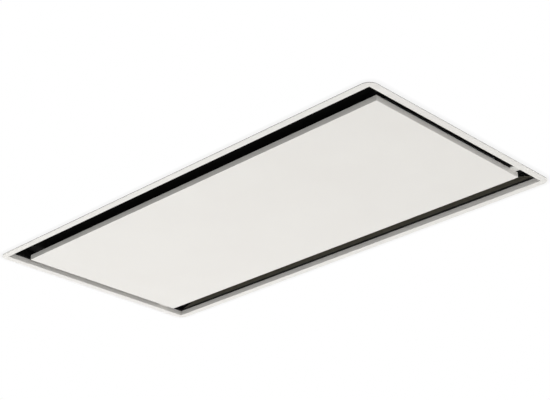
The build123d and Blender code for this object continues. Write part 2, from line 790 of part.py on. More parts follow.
def make_impeller():
    """Forward-curved wheel: blades between a back plate and a ring, on a hub."""
    blades = Sketch()
    root_r, tip_r = impeller_eye_r + blade_sheet, impeller_r - blade_sheet
    for i in range(blade_count):
        turn = 360 / blade_count * i
        points = [
            Vector(r * cos(radians(turn + lean)), r * sin(radians(turn + lean)), 0)
            for r, lean in ((root_r, 0), ((root_r + tip_r) / 2, blade_mid_lean), (tip_r, blade_tip_lean))
        ]
        thick = Vector(-sin(radians(turn)), cos(radians(turn)), 0) * blade_sheet
        blades += make_face([
            ThreePointArc(*points),
            Line(points[2], points[2] + thick),
            ThreePointArc(points[2] + thick, points[1] + thick, points[0] + thick),
            Line(points[0] + thick, points[0]),
        ])
    back_z = impeller_top - impeller_sheet
    ring_top = impeller_z + impeller_sheet
    wheel = extrude(Circle(impeller_r) - Circle(impeller_eye_r), impeller_sheet)
    blade_length = back_z - ring_top + 2 * blade_bite
    wheel = Pos(0, 0, impeller_z) * wheel
    wheel += Pos(0, 0, ring_top - blade_bite) * extrude(blades, blade_length)
    plate = Circle(impeller_r) - Circle(shaft_r)
    for i in range(vent_count):
        turn = radians(360 / vent_count * i)
        plate -= Pos(vent_circle_r * cos(turn), vent_circle_r * sin(turn)) * Circle(vent_r)
    wheel += Pos(0, 0, back_z) * extrude(plate, impeller_sheet)
    wheel += Pos(0, 0, hub_z) * extrude(Circle(hub_r) - Circle(shaft_r), hub_height)
    return Pos(blower_x, blower_y, 0) * wheel


def make_impeller_nut():
    """Nut that holds the impeller on its shaft."""
    nut = hexagon(blower_x, blower_y, hub_z - nut_height, hub_z, nut_flats)
    return nut - rod(blower_x, blower_y, hub_z - nut_height, hub_z, shaft_r)


# ---------------------------------------------------------------- motor
def motor_screw_places():
    """Where the motor's flange is screwed to the blower cover."""
    r = (motor_r + motor_flange_r) / 2
    return [(blower_x + r * cos(radians(a)), blower_y + r * sin(radians(a))) for a in (0, 90, 180, 270)]


def rotor_span():
    """Lower and upper end of the rotor core, between the two bearings."""
    return motor_z + bearing_length + 2 * rotor_room, motor_top - 2 * bearing_length - 2 * rotor_room


def make_motor():
    """Motor housing with cooling grooves, hollow for its rotor and bearings."""
    x, y = blower_x, blower_y
    motor = rod(x, y, motor_z, motor_top, motor_r)
    motor = fillet(flat_edges(motor, motor_top), motor_groove)
    motor += rod(x, y, cover_top, cover_top + motor_flange_sheet, motor_flange_r)
    pitch = (motor_top - cover_top - motor_flange_sheet) / (motor_fins + 1)
    for i in range(motor_fins):
        z = cover_top + motor_flange_sheet + pitch * (i + 1)
        ring = Circle(motor_r) - Circle(motor_r - motor_groove)
        motor -= Pos(x, y, z - motor_groove / 2) * extrude(ring, motor_groove)
    z0, z1 = rotor_span()
    motor -= rod(x, y, motor_z, motor_top - bearing_length, bearing_r)
    motor -= rod(x, y, z0 - rotor_room, z1 + rotor_room, rotor_r + rotor_room)
    for place in motor_screw_places():
        motor -= rod(*place, cover_top, cover_top + motor_flange_sheet, screw_r)
    return motor


def make_motor_bearings():
    """Two bearings in the motor, with running room round the shaft."""
    rings = []
    for z in (motor_z, motor_top - 2 * bearing_length):
        ring = rod(blower_x, blower_y, z, z + bearing_length, bearing_r)
        rings.append(ring - rod(blower_x, blower_y, z, z + bearing_length, shaft_r + running_fit))
    return rings


def make_motor_rotor():
    """Shaft with its rotor core."""
    z0, z1 = rotor_span()
    shaft = rod(blower_x, blower_y, shaft_z, motor_top - bearing_length - rotor_room, shaft_r)
    return shaft + rod(blower_x, blower_y, z0, z1, rotor_r)


def make_blower_isolators():
    """Rubber blocks between the blower cover and its stand-offs."""
    return [rod(x, y, cover_top, standoff_z, isolator_r) - rod(x, y, cover_top, standoff_z, bolt_r)
            for x, y in blower_mounts]


def make_blower_standoffs():
    """Steel tubes between the rubber blocks and the casing's top."""
    return [rod(x, y, standoff_z, casing_height, standoff_r) - rod(x, y, standoff_z, casing_height, bolt_r)
            for x, y in blower_mounts]


def make_blower_bolts():
    """Hexagon bolts through the top, the stand-offs, the rubber blocks and the cover, each with its nut."""
    pieces = []
    nut_z = cover_z - bolt_nut_height
    for x, y in blower_mounts:
        head = hexagon(x, y, casing_top_z, casing_top_z + bolt_head_height, bolt_flats)
        pieces.append(head + rod(x, y, nut_z - bolt_past_nut, casing_top_z, bolt_r))
        pieces.append(hexagon(x, y, nut_z, cover_z, bolt_flats) - rod(x, y, nut_z, cover_z, bolt_r))
    return pieces


# ---------------------------------------------------------------- duct
def transition_solid(grow, round_r):
    """A loft from the scroll's mouth to the round duct, grown by a wall all round."""
    mouth = Rectangle(outlet_width + 2 * grow, blower_height + 2 * grow)
    start = Plane(origin=(spigot_x, mouth_y, spigot_z), x_dir=(1, 0, 0), z_dir=(0, 1, 0))
    end = Plane(origin=(spigot_x, casing_in_y, spigot_z), x_dir=(1, 0, 0), z_dir=(0, 1, 0))
    return loft([start * mouth, end * Circle(round_r)])


def make_outlet_transition():
    """Sheet transition from the scroll's mouth to the round hole in the casing."""
    return transition_solid(blower_sheet, spigot_bore_r + blower_sheet) - transition_solid(0, spigot_bore_r)


def spigot_screw_places():
    """Where the spigot's flange is screwed to the casing, as x and z."""
    r = spigot_r + spigot_flange / 2
    return [(spigot_x + r * cos(radians(a)), spigot_z + r * sin(radians(a))) for a in (45, 135, 225, 315)]


def make_duct_spigot():
    """Round collar with a flange, two pin holes and four stops for the flaps."""
    end = spigot_y + spigot_length
    tube = rod_y(spigot_x, casing_out_y, end, spigot_z, spigot_r)
    tube += rod_y(spigot_x, casing_out_y, spigot_y, spigot_z, spigot_r + spigot_flange)
    tube -= rod_y(spigot_x, casing_out_y, end, spigot_z, spigot_bore_r)
    tube -= rod(spigot_x, flap_y, spigot_z - spigot_r, spigot_z + spigot_r, flap_pin_r)
    for x, z in spigot_screw_places():
        tube -= rod_y(x, casing_out_y, spigot_y, z, spigot_screw_r)
    stop_y = flap_y - flap_sheet / 2 - stop_gap
    for side in (-1, 1):
        x = spigot_x + side * (spigot_bore_r + spigot_sheet / 2)
        inner = spigot_x + side * (spigot_bore_r - stop_length)
        z0, z1 = spigot_z - stop_width / 2, spigot_z + stop_width / 2
        tube += block(inner, x, stop_y - stop_sheet, stop_y, z0, z1)
    return tube


def make_spigot_screws():
    """Four small screws through the spigot's flange and the casing."""
    screws = []
    for x, z in spigot_screw_places():
        head = rod_y(x, spigot_y, spigot_y + spigot_head, z, spigot_head_r)
        screws.append(head + rod_y(x, spigot_y - spigot_screw_length, spigot_y, z, spigot_screw_r))
    return screws


def make_damper_pin():
    """Upright pin on which both flaps swing."""
    reach = spigot_r - flap_pin_inset
    return rod(spigot_x, flap_y, spigot_z - reach, spigot_z + reach, flap_pin_r)


def make_damper_flap(side):
    """Half-round flap with every second knuckle round the pin."""
    room = knuckle_r + knuckle_gap
    half = flap_sheet / 2
    flap = rod_y(spigot_x, flap_y - half, flap_y + half, spigot_z, flap_r)
    flap -= block(spigot_x + side * room, spigot_x - side * 2 * flap_r, flap_y - half, flap_y + half,
                  spigot_z - flap_r, spigot_z + flap_r)
    span = 2 * (flap_r - knuckle_gap) / knuckle_count
    for i in range(knuckle_count):
        if i % 2 == (side > 0):
            z0 = spigot_z - flap_r + knuckle_gap + span * i + knuckle_gap / 2
            z1 = z0 + span - knuckle_gap
            flap += rod(spigot_x, flap_y, z0, z1, knuckle_r)
            bridge = spigot_x + side * (room + knuckle_gap)
            flap += block(spigot_x, bridge, flap_y - half, flap_y + half, z0, z1)
    return flap - rod(spigot_x, flap_y, spigot_z - flap_r, spigot_z + flap_r, flap_pin_r + running_fit)


# ---------------------------------------------------------------- control box
def box_corners():
    """Centres of the four screw posts in the control box."""
    x, y = box_length / 2 - box_sheet - post_size / 2, box_width / 2 - box_sheet - post_size / 2
    return [(box_x + sx * x, sy * y) for sx in (-1, 1) for sy in (-1, 1)]


def board_posts():
    """Where the board hangs from the box."""
    x, y = board_length / 2 - board_post_inset, board_width / 2 - board_post_inset
    return [(board_x + sx * x, sy * y) for sx in (-1, 1) for sy in (-1, 1)]


def make_control_box():
    """Sheet box under the casing's top, open downwards, with screw posts and board pillars."""
    hx, hy = box_length / 2, box_width / 2
    box = block(box_x - hx, box_x + hx, -hy, hy, box_z + box_sheet, casing_height)
    box -= block(box_x - hx + box_sheet, box_x + hx - box_sheet, -hy + box_sheet, hy - box_sheet,
                 box_z + box_sheet, casing_height - box_sheet)
    for x, y in box_corners():
        half = post_size / 2
        box += block(x - half, x + half, y - half, y + half, box_z + box_sheet, casing_height - box_sheet)
        box -= rod(x, y, box_z + box_sheet, box_z + box_sheet + screw_length, screw_r)
    for x, y in board_posts():
        box += rod(x, y, board_z, casing_height - box_sheet, board_post_r)
    box -= rod(gland_x, 0, casing_height - box_sheet, casing_height, gland_r)
    return box - rod_x(box_x - hx, box_x - hx + box_sheet, lead_points[-1][1], lead_z, lead_r)


def make_control_box_lid():
    """Flat lid under the control box."""
    hx, hy = box_length / 2, box_width / 2
    lid = block(box_x - hx, box_x + hx, -hy, hy, box_z, box_z + box_sheet)
    for x, y in box_corners():
        lid -= rod(x, y, box_z, box_z + box_sheet, screw_r)
    return lid


def make_control_board():
    """Printed board that hangs from the pillars."""
    return block(board_x - board_length / 2, board_x + board_length / 2, -board_width / 2, board_width / 2,
                 board_z - board_sheet, board_z)


def make_board_parts():
    """A transformer, a row of relays and a row of capacitors under the board."""
    z = board_z - board_sheet
    x0 = board_x - board_length / 2 + 2 * part_margin
    y0 = -board_width / 2 + part_margin
    length, width, height = transformer
    parts = [block(x0, x0 + length, y0, y0 + width, z - height, z)]
    relay_x = x0 + length + part_margin / 2
    length, width, height = relay
    for i in range(relay_count):
        x = relay_x + relay_pitch * i
        parts.append(block(x, x + length, y0, y0 + width, z - height, z))
    smoother_y = board_width / 2 - 2 * part_margin - smoother_r
    for i in range(smoother_count):
        x = x0 + smoother_r + smoother_pitch * i
        parts.append(rod(x, smoother_y, z - smoother_height, z, smoother_r))
    return parts


def make_terminal_block():
    """Supply terminals inside the box, beside the gland."""
    half = terminal_width / 2
    x = board_x + board_length / 2 + half + terminal_gap
    z1 = casing_height - box_sheet
    z0 = z1 - terminal_height
    base = block(x - half, x + half, -terminal_length / 2, terminal_length / 2, z0, z1)
    for y in spaced(terminal_ways, terminal_spread):
        for dx in (-half / 2, half / 2):
            base -= rod(x + dx, y, z0, z0 + terminal_hole_depth, terminal_hole_r)
    return base


def make_cable_gland():
    """Gland body through the casing's top and the box, with a hexagon above."""
    z0, z1 = casing_height - box_sheet - gland_thread_below, casing_top_z + gland_hex
    body = rod(gland_x, 0, z0, casing_top_z, gland_r)
    body += hexagon(gland_x, 0, casing_top_z, z1, gland_flats)
    return body - rod(gland_x, 0, z0, z1, gland_bore_r)


def make_gland_dome():
    """Dome nut on the gland."""
    z0 = casing_top_z + gland_hex
    dome = rod(gland_x, 0, z0, z0 + gland_dome_height, gland_dome_r)
    dome = fillet(flat_edges(dome, z0 + gland_dome_height), gland_dome_edge_r)
    return dome - rod(gland_x, 0, z0, z0 + gland_dome_height, gland_bore_r)


def make_gland_locknut():
    """Flat nut that holds the gland inside the box."""
    z1 = casing_height - box_sheet
    nut = hexagon(gland_x, 0, z1 - gland_locknut, z1, gland_flats)
    return nut - rod(gland_x, 0, z1 - gland_locknut, z1, gland_r)


# ---------------------------------------------------------------- capacitor and lead
def capacitor_screws():
    """Where the capacitor's clip is screwed up to the casing's top."""
    reach = capacitor_r + clip_sheet + clip_ear / 2
    return [(capacitor_x, capacitor_y - reach), (capacitor_x, capacitor_y + reach)]


def make_run_capacitor():
    """Capacitor can, lying along X under the casing's top."""
    z = casing_height - capacitor_r
    x0, x1 = capacitor_x - capacitor_length / 2, capacitor_x + capacitor_length / 2
    can = rod_x(x0, x1, capacitor_y, z, capacitor_r)
    return can + rod_x(x1, x1 + capacitor_stub, capacitor_y, z, capacitor_stub_r)


def make_capacitor_clip():
    """Strap round the capacitor with an ear at each side."""
    x0, x1 = capacitor_x - clip_width / 2, capacitor_x + clip_width / 2
    z = casing_height - capacitor_r
    r = capacitor_r + clip_sheet
    strap = rod_x(x0, x1, capacitor_y, z, r)
    strap += block(x0, x1, capacitor_y - r, capacitor_y + r, z, casing_height)
    ear, ear_z = r + clip_ear, casing_height - clip_sheet
    strap += block(x0, x1, capacitor_y - ear, capacitor_y + ear, ear_z, casing_height)
    strap -= rod_x(x0, x1, capacitor_y, z, capacitor_r)
    strap -= block(x0, x1, capacitor_y - capacitor_r, capacitor_y + capacitor_r, z, casing_height)
    strap -= block(x0, x1, capacitor_y - r, capacitor_y + r, casing_height, casing_height + r)
    for place in capacitor_screws():
        strap -= rod(*place, ear_z, casing_height, screw_r)
    return strap


def lead_route():
    """The lead's middle line, from the motor's side to the control box's wall."""
    first = (blower_x + motor_r, blower_y, lead_z)
    last = (box_x - box_length / 2 + box_sheet, lead_points[-1][1], lead_z)
    points = [first] + [(x, y, lead_z) for x, y in lead_points] + [last]
    return FilletPolyline(*points, radius=lead_bend_r)


def make_motor_lead():
    """Sheathed lead from the motor to the control box."""
    route = lead_route()
    section = Plane(origin=route @ 0, z_dir=route % 0) * Circle(lead_r)
    return sweep(section, path=route)


def lead_clip_screws():
    """Where the lead's clips are screwed up to the casing's top."""
    return [(x, lead_points[1][1] + lead_r + clip_sheet + clip_ear / 2) for x in lead_clip_x]


def make_lead_clips():
    """P-shaped clips that hang the lead from the casing's top."""
    clips = []
    y = lead_points[1][1]
    r = lead_r + clip_sheet
    for x, _ in lead_clip_screws():
        x0, x1 = x - lead_clip_width / 2, x + lead_clip_width / 2
        clip = rod_x(x0, x1, y, lead_z, r)
        clip += block(x0, x1, y + lead_r, y + r, lead_z, casing_height)
        ear_z = casing_height - clip_sheet
        clip += block(x0, x1, y + lead_r, y + r + clip_ear, ear_z, casing_height)
        clip -= rod_x(x0, x1, y, lead_z, lead_r)
        for place in lead_clip_screws():
            clip -= rod(*place, ear_z, casing_height, screw_r)
        clips.append(clip)
    return clips


# ---------------------------------------------------------------- screws
def make_top_screws():
    """Screws that hold the casing's top."""
    return [screw_down(x, y, casing_top_z) for x, y in casing_screws()]


def make_hanger_screws():
    """Screws that hold the hanging brackets."""
    return [screw_down(x, y, casing_top_z + hanger_sheet) for x, y in hanger_feet]


def make_deck_screws():
    """Screws that hold the hinge brackets and the catches up to the deck."""
    brackets = [screw_up(x, y, deck_height - bracket_sheet, deck_screw_length)
                for side in (-1, 1) for x, y in bracket_screws(side)]
    catches = [screw_up(x, y, deck_height - catch_foot_sheet, deck_screw_length) for x, y in catch_screws()]
    return brackets + catches


def make_panel_rivets():
    """Rivets that hold the arms and the strikers on the panel."""
    seats = {True: panel_top + arm_sheet, False: panel_top + striker_sheet}
    return [rivet_down(x, y, seats[y > 0]) for x, y in panel_rivets()]


def make_motor_screws():
    """Screws that hold the motor on the blower cover."""
    return [screw_down(x, y, cover_top + motor_flange_sheet) for x, y in motor_screw_places()]


def make_box_screws():
    """Screws that hold the control box's lid."""
    return [screw_up(x, y, box_z) for x, y in box_corners()]


def make_clip_screws():
    """Screws that hold the capacitor's and the lead's clips up to the casing's top."""
    return [screw_up(x, y, casing_height - clip_sheet, top_sheet + clip_sheet + screw_end)
            for x, y in capacitor_screws() + lead_clip_screws()]


# ---------------------------------------------------------------- every node
nodes = {
    "ceiling_frame": make_ceiling_frame(),
    "panel_tray": make_panel_tray(),
    "panel_back_plate": make_panel_back_plate(),
    "stiffener_front": make_stiffener(-stiffener_spread / 2),
    "stiffener_rear": make_stiffener(stiffener_spread / 2),
    "panel_rivets": make_panel_rivets(),
    "filter_deck": make_filter_deck(),
    "casing_front": make_casing_front(),
    "casing_rear": make_casing_rear(),
    "casing_ends": make_casing_ends(),
    "casing_top": make_casing_top(),
    "casing_screws": make_top_screws(),
    "hanging_brackets": make_hanging_brackets(),
    "hanger_screws": make_hanger_screws(),
    "deck_screws": make_deck_screws(),
    "blower_base": make_blower_base(),
    "blower_cover": make_blower_cover(),
    "inlet_ring": make_inlet_ring(),
    "impeller": make_impeller(),
    "impeller_nut": make_impeller_nut(),
    "motor": make_motor(),
    "motor_bearings": make_motor_bearings(),
    "motor_rotor": make_motor_rotor(),
    "motor_screws": make_motor_screws(),
    "blower_isolators": make_blower_isolators(),
    "blower_standoffs": make_blower_standoffs(),
    "blower_bolts": make_blower_bolts(),
    "outlet_transition": make_outlet_transition(),
    "duct_spigot": make_duct_spigot(),
    "spigot_screws": make_spigot_screws(),
    "damper_pin": make_damper_pin(),
    "damper_flap_left": make_damper_flap(-1),
    "damper_flap_right": make_damper_flap(1),
    "control_box": make_control_box(),
    "control_box_lid": make_control_box_lid(),
    "box_screws": make_box_screws(),
    "control_board": make_control_board(),
    "board_parts": make_board_parts(),
    "terminal_block": make_terminal_block(),
    "cable_gland": make_cable_gland(),
    "gland_dome": make_gland_dome(),
    "gland_locknut": make_gland_locknut(),
    "run_capacitor": make_run_capacitor(),
    "capacitor_clip": make_capacitor_clip(),
    "motor_lead": make_motor_lead(),
    "lead_clips": make_lead_clips(),
    "clip_screws": make_clip_screws(),
}
for label, side in (("left", -1), ("right", 1)):
    nodes[f"hinge_arm_{label}"] = make_hinge_arm(side)
    nodes[f"hinge_bracket_{label}"] = make_hinge_bracket(side)
nodes["hinge_pins"] = [make_hinge_pin(-1), make_hinge_pin(1)]
nodes["hinge_bushes"] = [make_hinge_bush(-1), make_hinge_bush(1)]
nodes["magnet_catches"] = [make_magnet_catch(-1), make_magnet_catch(1)]
nodes["striker_plates"] = [make_striker(-1), make_striker(1)]
nodes["filter_frames"] = [make_filter_frame(x) for x in filter_xs]
nodes["filter_meshes"] = [make_filter_mesh(x) for x in filter_xs]
for number, x in enumerate(filter_xs, 1):
    nodes[f"filter_latch_{number}"] = make_filter_latch(x)

os.makedirs("parts", exist_ok=True)
for name, shape in nodes.items():
    pieces = shape if isinstance(shape, list) else shape.solids()
    solids = [solid for piece in pieces for solid in piece.solids()]
    whole = solids[0] if len(solids) == 1 else Compound(children=solids)
    export_step(whole, f"parts/{name}.step")
print(len(nodes), "nodes")
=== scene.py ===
"""Looks of a ceiling range hood: finishes, fine pieces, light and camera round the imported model."""

import logging
import math
from collections.abc import Iterator
from contextlib import contextmanager
from dataclasses import dataclass
from enum import Enum
from typing import Protocol

import bmesh
import bpy
from mathutils import Matrix, Vector

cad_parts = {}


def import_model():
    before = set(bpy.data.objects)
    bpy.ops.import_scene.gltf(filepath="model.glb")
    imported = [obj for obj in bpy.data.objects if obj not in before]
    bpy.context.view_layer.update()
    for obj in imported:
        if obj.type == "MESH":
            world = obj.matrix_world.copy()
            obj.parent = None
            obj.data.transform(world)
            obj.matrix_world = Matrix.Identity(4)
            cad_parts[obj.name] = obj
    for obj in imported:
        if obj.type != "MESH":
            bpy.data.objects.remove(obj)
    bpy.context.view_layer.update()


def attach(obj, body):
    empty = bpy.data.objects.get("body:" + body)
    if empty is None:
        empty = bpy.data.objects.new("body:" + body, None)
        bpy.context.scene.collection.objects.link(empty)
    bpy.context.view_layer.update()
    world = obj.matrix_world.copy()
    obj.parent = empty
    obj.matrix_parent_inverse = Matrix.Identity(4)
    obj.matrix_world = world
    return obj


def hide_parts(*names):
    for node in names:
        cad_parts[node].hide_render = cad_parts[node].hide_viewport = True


LOG = logging.getLogger("ceiling_hood")

Piece = bpy.types.Object
Paint = bpy.types.Material
Tree = bpy.types.NodeTree
Node = bpy.types.Node
Socket = bpy.types.NodeSocket
Triple = tuple[float, float, float]

MM = 0.001
SAME_PLACE = 1e-6  # corners closer than this, in metres, are one
QUARTER = math.pi / 2
WHITE = "#FFFFFF"
UPWARD = Vector((0, 0, 1))
ENDWAYS = Vector((1, 0, 0))
SQUARE_ON = 0.9  # a face looks along a direction when its normal agrees with it this far
UPRIGHT = 0.1  # a face stands upright when its normal rises less than this
NOISE_LOW, NOISE_HIGH = 0.3, 0.7  # nearly all values of a noise lie between these


# ---------------- colours and nodes
def linear(colour: str) -> tuple[float, float, float, float]:
    """Turn an sRGB hex colour into a linear one, by the sRGB standard's curve.

    Args:
        colour: Six hex digits after a hash.

    Returns:
        Linear red, green, blue and an alpha of one.
    """
    parts = [int(colour[i : i + 2], 16) / 255 for i in (1, 3, 5)]
    values = [c / 12.92 if c <= 0.04045 else ((c + 0.055) / 1.055) ** 2.4 for c in parts]
    return (*values, 1.0)


def per_metre(size_mm: float) -> float:
    """Turn the real size of a pattern's repeat, in millimetres, into a texture's scale."""
    return 1 / (size_mm * MM)


def add_node(tree: Tree, kind: str, inputs: dict | None = None, **settings: object) -> Node:
    """Add one node with its settings, and feed its inputs.

    Args:
        tree: Node tree that gets the node.
        kind: The shader node's type name, after the words that all of them start with.
        inputs: Input name or number, with a value or with the output socket that feeds it.
        **settings: Properties of the node itself.

    Returns:
        The new node.
    """
    node = tree.nodes.new(f"ShaderNode{kind}")
    for name, value in settings.items():
        setattr(node, name, value)
    for name, value in (inputs or {}).items():
        if isinstance(value, Socket):
            tree.links.new(value, node.inputs[name])
        else:
            node.inputs[name].default_value = value
    return node


def seen_rays(tree: Tree, path: Node) -> Socket:
    """Tell the rays that show something from those that only carry light.

    Args:
        tree: Node tree that gets the nodes.
        path: Its Light Path node.

    Returns:
        The socket that is one for what the camera, a gloss or a glass shows.
    """
    seen = path.outputs["Is Camera Ray"]
    for ray in ("Is Glossy Ray", "Is Transmission Ray"):
        either = add_node(tree, "Math", {0: seen, 1: path.outputs[ray]}, operation="MAXIMUM")
        seen = either.outputs[0]
    return seen


# ---------------- modelling
def deselect_all() -> None:
    """Leave edit mode and select nothing."""
    if bpy.context.object and bpy.context.object.mode != "OBJECT":
        bpy.ops.object.mode_set(mode="OBJECT")
    bpy.ops.object.select_all(action="DESELECT")


def activate(piece: Piece) -> None:
    """Select one piece alone and make it the active one.

    Args:
        piece: The piece to work on.
    """
    deselect_all()
    piece.select_set(True)
    bpy.context.view_layer.objects.active = piece


def apply_place(piece: Piece) -> None:
    """Put a piece's place, turn and size into its mesh."""
    activate(piece)
    bpy.ops.object.transform_apply(location=True, rotation=True, scale=True)


def apply_modifiers(piece: Piece) -> None:
    """Apply every modifier of a piece, in order.

    Args:
        piece: The piece that carries them.
    """
    activate(piece)
    for modifier in list(piece.modifiers):
        bpy.ops.object.modifier_apply(modifier=modifier.name)


def smooth(piece: Piece, degrees: float) -> None:
    """Shade a piece smooth across every edge that bends less than an angle."""
    activate(piece)
    bpy.ops.object.shade_smooth_by_angle(angle=math.radians(degrees))


def block(size: Triple, centre: Triple = (0, 0, 0)) -> Piece:
    """Start a piece from a cube, at its size and place.

    Args:
        size: Its length, width and height.
        centre: Its middle.

    Returns:
        The box, with its place in its mesh.
    """
    deselect_all()
    bpy.ops.mesh.primitive_cube_add(size=1, location=centre)
    piece = bpy.context.object
    piece.scale = size
    apply_place(piece)
    return piece


def plate(size: tuple[float, float], height: float = 0.0) -> Piece:
    """Start a piece from a flat sheet that faces up, at its size and height.

    Args:
        size: Its length and width.
        height: How high it lies.

    Returns:
        The sheet, with its place in its mesh.
    """
    deselect_all()
    bpy.ops.mesh.primitive_plane_add(size=1, location=(0, 0, height))
    piece = bpy.context.object
    piece.scale = (*size, 1)
    apply_place(piece)
    return piece


def rod(radius: float, length: float, sides: int, centre: Triple = (0, 0, 0)) -> Piece:
    """Start a piece from an upright cylinder, at its size and place.

    Args:
        radius: Its radius.
        length: Its height.
        sides: How many flat sides stand for its round one.
        centre: Its middle.

    Returns:
        The cylinder, with its place in its mesh.
    """
    deselect_all()
    bpy.ops.mesh.primitive_cylinder_add(vertices=sides, radius=radius, depth=length, location=centre)
    piece = bpy.context.object
    apply_place(piece)
    return piece


def faces_towards(piece: Piece, *ways: Vector) -> list[int]:
    """List the numbers of the faces that look along one of some directions."""
    return [f.index for f in piece.data.polygons if any(f.normal.dot(way) > SQUARE_ON for way in ways)]


@contextmanager
def editing(piece: Piece, chosen: list[int] | None = None) -> Iterator[None]:
    """Work on a piece in edit mode, and leave edit mode when that is done.

    Args:
        piece: The piece, which becomes the active one.
        chosen: Numbers of the faces that are selected, or none for the whole piece.

    Yields:
        Nothing, once the piece is in edit mode.
    """
    activate(piece)
    mesh = piece.data
    for element in (*mesh.vertices, *mesh.edges, *mesh.polygons):
        element.select = chosen is None
    for number in chosen or []:
        mesh.polygons[number].select = True
    bpy.ops.object.mode_set(mode="EDIT")
    bpy.ops.mesh.select_mode(type="FACE")
    yield
    bpy.ops.object.mode_set(mode="OBJECT")


def joined(pieces: list[Piece], name: str) -> Piece:
    """Join several pieces into one, with its place in its mesh.

    Args:
        pieces: Objects to join.
        name: Name of the piece that they become.

    Returns:
        The joined piece.
    """
    activate(pieces[0])
    for piece in pieces:
        piece.select_set(True)
    if len(pieces) > 1:
        bpy.ops.object.join()
    result = bpy.context.view_layer.objects.active
    result.name = name
    apply_place(result)
    return result


def copy_of(piece: Piece, place: Matrix) -> Piece:
    """Copy a piece with a mesh of its own.

    Args:
        piece: The piece to copy.
        place: Where the copy goes.

    Returns:
        The copy.
    """
    twin = piece.copy()
    twin.data = piece.data.copy()
    bpy.context.scene.collection.objects.link(twin)
    twin.matrix_world = place
    return twin


def carve(piece: Piece, cutter: Piece) -> None:
    """Cut one object's shape out of a piece, and delete the cutter.

    Args:
        piece: The piece that is cut.
        cutter: The shape to take out of it.
    """
    cut = piece.modifiers.new("cut", "BOOLEAN")
    cut.operation = "DIFFERENCE"
    cut.object = cutter
    apply_modifiers(piece)
    bpy.data.objects.remove(cutter)


def repeated(template: Piece, places: list[Matrix], name: str) -> Piece:
    """Copy a template to each place, join the copies and delete the template.

    Args:
        template: The shape, modelled once round the origin.
        places: Where each copy goes.
        name: Name of the joined piece.

    Returns:
        The joined copies.
    """
    copies = [copy_of(template, place) for place in places]
    bpy.data.objects.remove(template)
    return joined(copies, name)


def band(name: str, half: tuple[float, float], levels: tuple[float, float], sheet: float) -> Piece:
    """Model an upright strip that runs round the inside of a rectangular opening.

    Args:
        name: Name of the strip.
        half: Half the opening's length and width.
        levels: Heights of the strip's lower and upper edge.
        sheet: Its thickness, inwards.

    Returns:
        The strip, without a finish.
    """
    strip = block((2 * half[0], 2 * half[1], levels[1] - levels[0]), (0, 0, sum(levels) / 2))
    strip.name = name
    with editing(strip, faces_towards(strip, UPWARD, -UPWARD)):
        bpy.ops.mesh.delete(type="ONLY_FACE")
    walls = strip.modifiers.new("sheet", "SOLIDIFY")
    walls.thickness = sheet
    walls.offset = -1
    walls.use_even_offset = True
    apply_modifiers(strip)
    return strip


def evenly(count: int) -> list[float]:
    """Space a number of places evenly from minus one to one."""
    return [2 * k / (count - 1) - 1 for k in range(count)]


# ---------------- measuring the CAD nodes
def box_round(points: list[Vector]) -> tuple[Vector, Vector]:
    """Find the lowest and highest corner of the box round some points."""
    return Vector(map(min, zip(*points))), Vector(map(max, zip(*points)))


def extent(node: str) -> tuple[Vector, Vector]:
    """Find the lowest and highest corner of the box round a CAD node."""
    return box_round([Vector(corner) for corner in bpy.data.objects[node].bound_box])


def islands(node: str) -> list[tuple[Vector, Vector]]:
    """Find the separate solids of a CAD node.

    Args:
        node: Name of the node.

    Returns:
        The lowest and highest corner of each solid, in order of place.
    """
    mesh = bmesh.new()
    mesh.from_mesh(bpy.data.objects[node].data)
    bmesh.ops.remove_doubles(mesh, verts=mesh.verts, dist=SAME_PLACE)
    found, seen = [], set()
    for start in mesh.verts:
        if start in seen:
            continue
        group, queue = [], [start]
        seen.add(start)
        while queue:
            vertex = queue.pop()
            group.append(vertex.co.copy())
            fresh = {edge.other_vert(vertex) for edge in vertex.link_edges} - seen
            seen |= fresh
            queue += fresh
        found.append(box_round(group))
    mesh.free()
    return sorted(found, key=lambda pair: tuple(pair[0]))


# ---------------- finishes
@dataclass(frozen=True)
class Finish:
    """A real material and how its surface was made."""

    name: str
    slot: str
    colour: str
    roughness: float
    metallic: float = 0.0
    specular: float = 0.5

    def material(self) -> Paint:
        """Build the material once, or give the one that is there.

        Returns:
            The material.
        """
        made = bpy.data.materials.get(self.name)
        if made:
            return made
        made = bpy.data.materials.new(self.name)
        made.use_nodes = True
        tree = made.node_tree
        shader = tree.nodes["Principled BSDF"]
        shader.inputs["Base Color"].default_value = linear(self.colour)
        shader.inputs["Roughness"].default_value = self.roughness
        shader.inputs["Metallic"].default_value = self.metallic
        shader.inputs["Specular IOR Level"].default_value = self.specular
        place = add_node(tree, "TexCoord").outputs["Object"]
        for name, socket in self.pattern(tree, place).items():
            tree.links.new(socket, shader.inputs[name])
        return made

    def pattern(self, tree: Tree, place: Socket) -> dict[str, Socket]:
        """Add what varies over the surface.

        Args:
            tree: The material's node tree.
            place: Object coordinates, in metres.

        Returns:
            The surface shader's inputs that vary, each with what feeds it.
        """
        return {}

    def dress(self, *pieces: Piece) -> None:
        """Give this finish to some pieces, as their only material.

        Args:
            *pieces: The pieces to dress.
        """
        for piece in pieces:
            piece.data.materials.clear()
            piece.data.materials.append(self.material())


